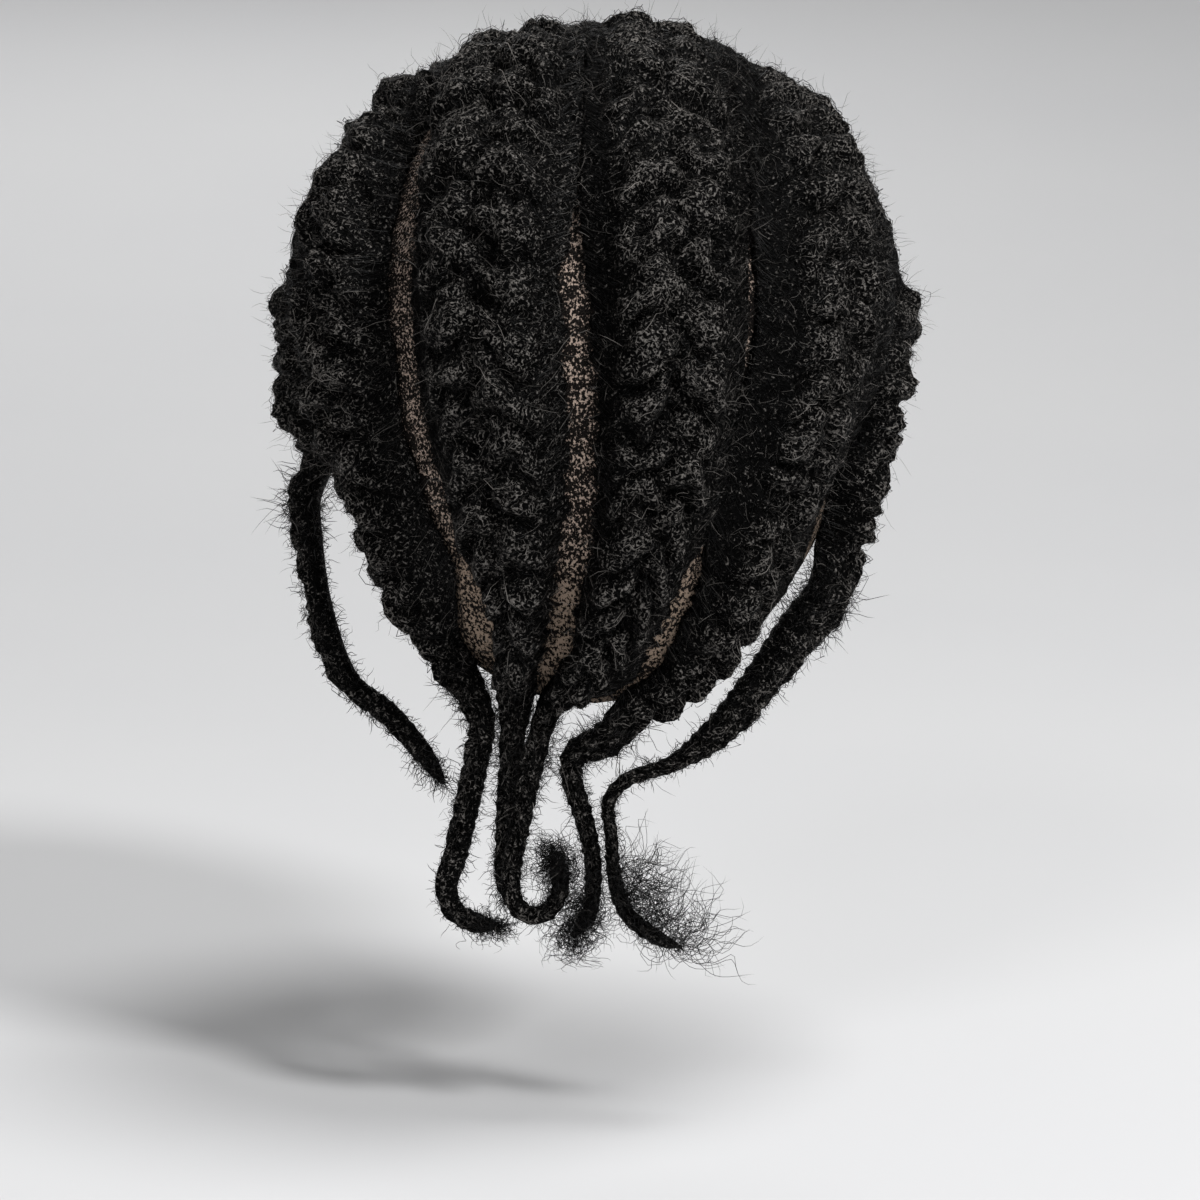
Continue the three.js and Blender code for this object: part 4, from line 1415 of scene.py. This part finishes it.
@dataclass
class LaceCap:
    """The lace base: a thin net wall on the head form, open below."""

    material: bpy.types.Material
    wall: float = 1.0
    sectors: int = 120
    rows: int = 26
    lip: int = 3

    def build(self) -> bpy.types.Object:
        """Builds the wall: down the inside from the crown, round the edge and up the outside."""
        steps = 2 * self.rows + self.lip
        mesh = rolled_tube("lace_net", steps, self.sectors, False)
        along, turn = tube_places(mesh)
        place = along * steps
        inside = np.minimum(place, self.rows) / self.rows
        outside = np.maximum(place - self.rows - self.lip, 0) / self.rows
        share = inside - outside
        lip = np.clip((place - self.rows) / self.lip, 0, 1)
        bearing = turn * 360 - 180
        edge = HEAD.turn(RIM.at(np.abs(bearing))[..., 0])
        foot = HEAD.around(bearing, edge * np.maximum(share, 0))
        points = HEAD.lifted(foot, self.wall * lip)
        down = np.sin(math.pi * lip) * self.wall * 0.35
        points[:, 2] -= down
        shape_mesh(mesh, points)
        sweep, lean = HEAD.sweep_and_lean(foot)
        flat = np.radians(lean) * HEAD.side, np.radians(sweep) * HEAD.back
        map_mesh(mesh, "net", np.stack(flat, axis=-1))
        away = lean[:, None] - PARTINGS.at(sweep)
        nearest = np.take_along_axis(away, np.abs(away).argmin(axis=1)[:, None], axis=1)[:, 0]
        tint_mesh(mesh, "aside", lip * np.radians(nearest) * np.linalg.norm(HEAD.offset(foot), axis=-1))
        face_outward(mesh)
        cap = piece(mesh, self.material)
        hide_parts("lace_cap")
        return cap


@dataclass(frozen=True)
class SoftLight:
    """A broad soft light: where it is, how wide and how strong."""

    name: str
    place: tuple[float, float, float]
    size: float
    watts: float


@dataclass
class Studio:
    """Floor, lights and camera."""

    aim: tuple[float, float, float] = (-0.0015, 0.0, -0.158)
    distance: float = 1.1
    elevation: float = 8.0
    lens: float = 110.0
    floor: float = -0.3
    flat: float = 0.7
    bowl: float = 4.2
    rise: float = 2.6
    bends: int = 24
    sectors: int = 64
    sky: Colour = (0.95, 0.97, 1.0, 1.0)
    sky_strength: float = 0.08
    lit: tuple[float, float, float] = (0.0, 0.0, -0.1)
    lights: tuple[SoftLight, ...] = (
        SoftLight("key light", (-1.35, 1.5, 1.5), 0.5, 42.0),
        SoftLight("top light", (-0.6, 0.2, 2.0), 0.9, 28.0),
        SoftLight("fill light", (0.9, 2.0, 1.3), 0.8, 13.0),
        SoftLight("front light", (0.3, -2.0, 1.2), 1.8, 14.0),
    )

    def build_floor(self, material: bpy.types.Material) -> None:
        """Builds a round pale floor whose far edge curves up."""
        shape = bmesh.new()
        turns = [math.pi / 2 * step / self.bends for step in range(self.bends + 1)]
        profile = [(0.0, 0.0), (self.flat / 2, 0.0)]
        wide = self.bowl - self.flat
        profile += [
            (self.flat + wide * math.sin(turn), self.rise * (1 - math.cos(turn))) for turn in turns
        ]
        line = [shape.verts.new((radius, 0.0, self.floor + height)) for radius, height in profile]
        edges = [shape.edges.new(pair) for pair in zip(line, line[1:])]
        bmesh.ops.spin(
            shape, geom=line + edges, cent=(0, 0, 0), axis=(0, 0, 1), angle=2 * math.pi, steps=self.sectors,
            use_merge=True,
        )
        bmesh.ops.remove_doubles(shape, verts=shape.verts[:], dist=1e-6)
        bmesh.ops.recalc_face_normals(shape, faces=shape.faces[:])
        mesh = bpy.data.meshes.new("floor")
        shape.to_mesh(mesh)
        shape.free()
        mesh.materials.append(material)
        mesh.polygons.foreach_set("use_smooth", np.ones(len(mesh.polygons), bool))
        floor = bpy.data.objects.new("floor", mesh)
        bpy.context.scene.collection.objects.link(floor)

    def build_lights(self) -> None:
        """Sets the soft lights round the toupee and a pale surrounding."""
        for light in self.lights:
            lamp = bpy.data.lights.new(light.name, "AREA")
            lamp.shape = "DISK"
            lamp.size = light.size
            lamp.energy = light.watts
            made = bpy.data.objects.new(light.name, lamp)
            made.location = light.place
            way = Vector(self.lit) - Vector(light.place)
            made.rotation_euler = way.to_track_quat("-Z", "Y").to_euler()
            bpy.context.scene.collection.objects.link(made)
        world = bpy.data.worlds.new("surrounding")
        world.use_nodes = True
        ground = world.node_tree.nodes["Background"]
        ground.inputs["Color"].default_value = self.sky
        ground.inputs["Strength"].default_value = self.sky_strength
        bpy.context.scene.world = world

    def build_camera(self) -> None:
        """Sets the camera at the photograph's angle."""
        tilt = math.radians(self.elevation)
        back = Vector((0.0, math.cos(tilt), math.sin(tilt)))
        lens = bpy.data.cameras.new("camera")
        lens.lens = self.lens
        camera = bpy.data.objects.new("camera", lens)
        camera.location = Vector(self.aim) + back * self.distance
        camera.rotation_euler = (-back).to_track_quat("-Z", "Y").to_euler()
        bpy.context.scene.collection.objects.link(camera)
        bpy.context.scene.camera = camera


def main() -> None:
    """Builds the lace cap, the cornrows and the studio in order."""
    logging.basicConfig(level=logging.INFO, format="%(message)s")
    cap = LaceCap(LaceFinish().material()).build()
    log.info("built %s", cap.name)
    packed, single = CoreHairFinish().material(), StrandFinish().material()
    for table in PLAITS:
        for made in Cornrow(PlaitForm(table), packed, single).build():
            log.info("built %s with %d vertices", made.name, len(made.data.vertices))
    studio = Studio()
    studio.build_floor(FloorFinish().material())
    studio.build_lights()
    studio.build_camera()
    bpy.context.scene.view_settings.view_transform = "Standard"


if __name__ == "__main__":
    main()
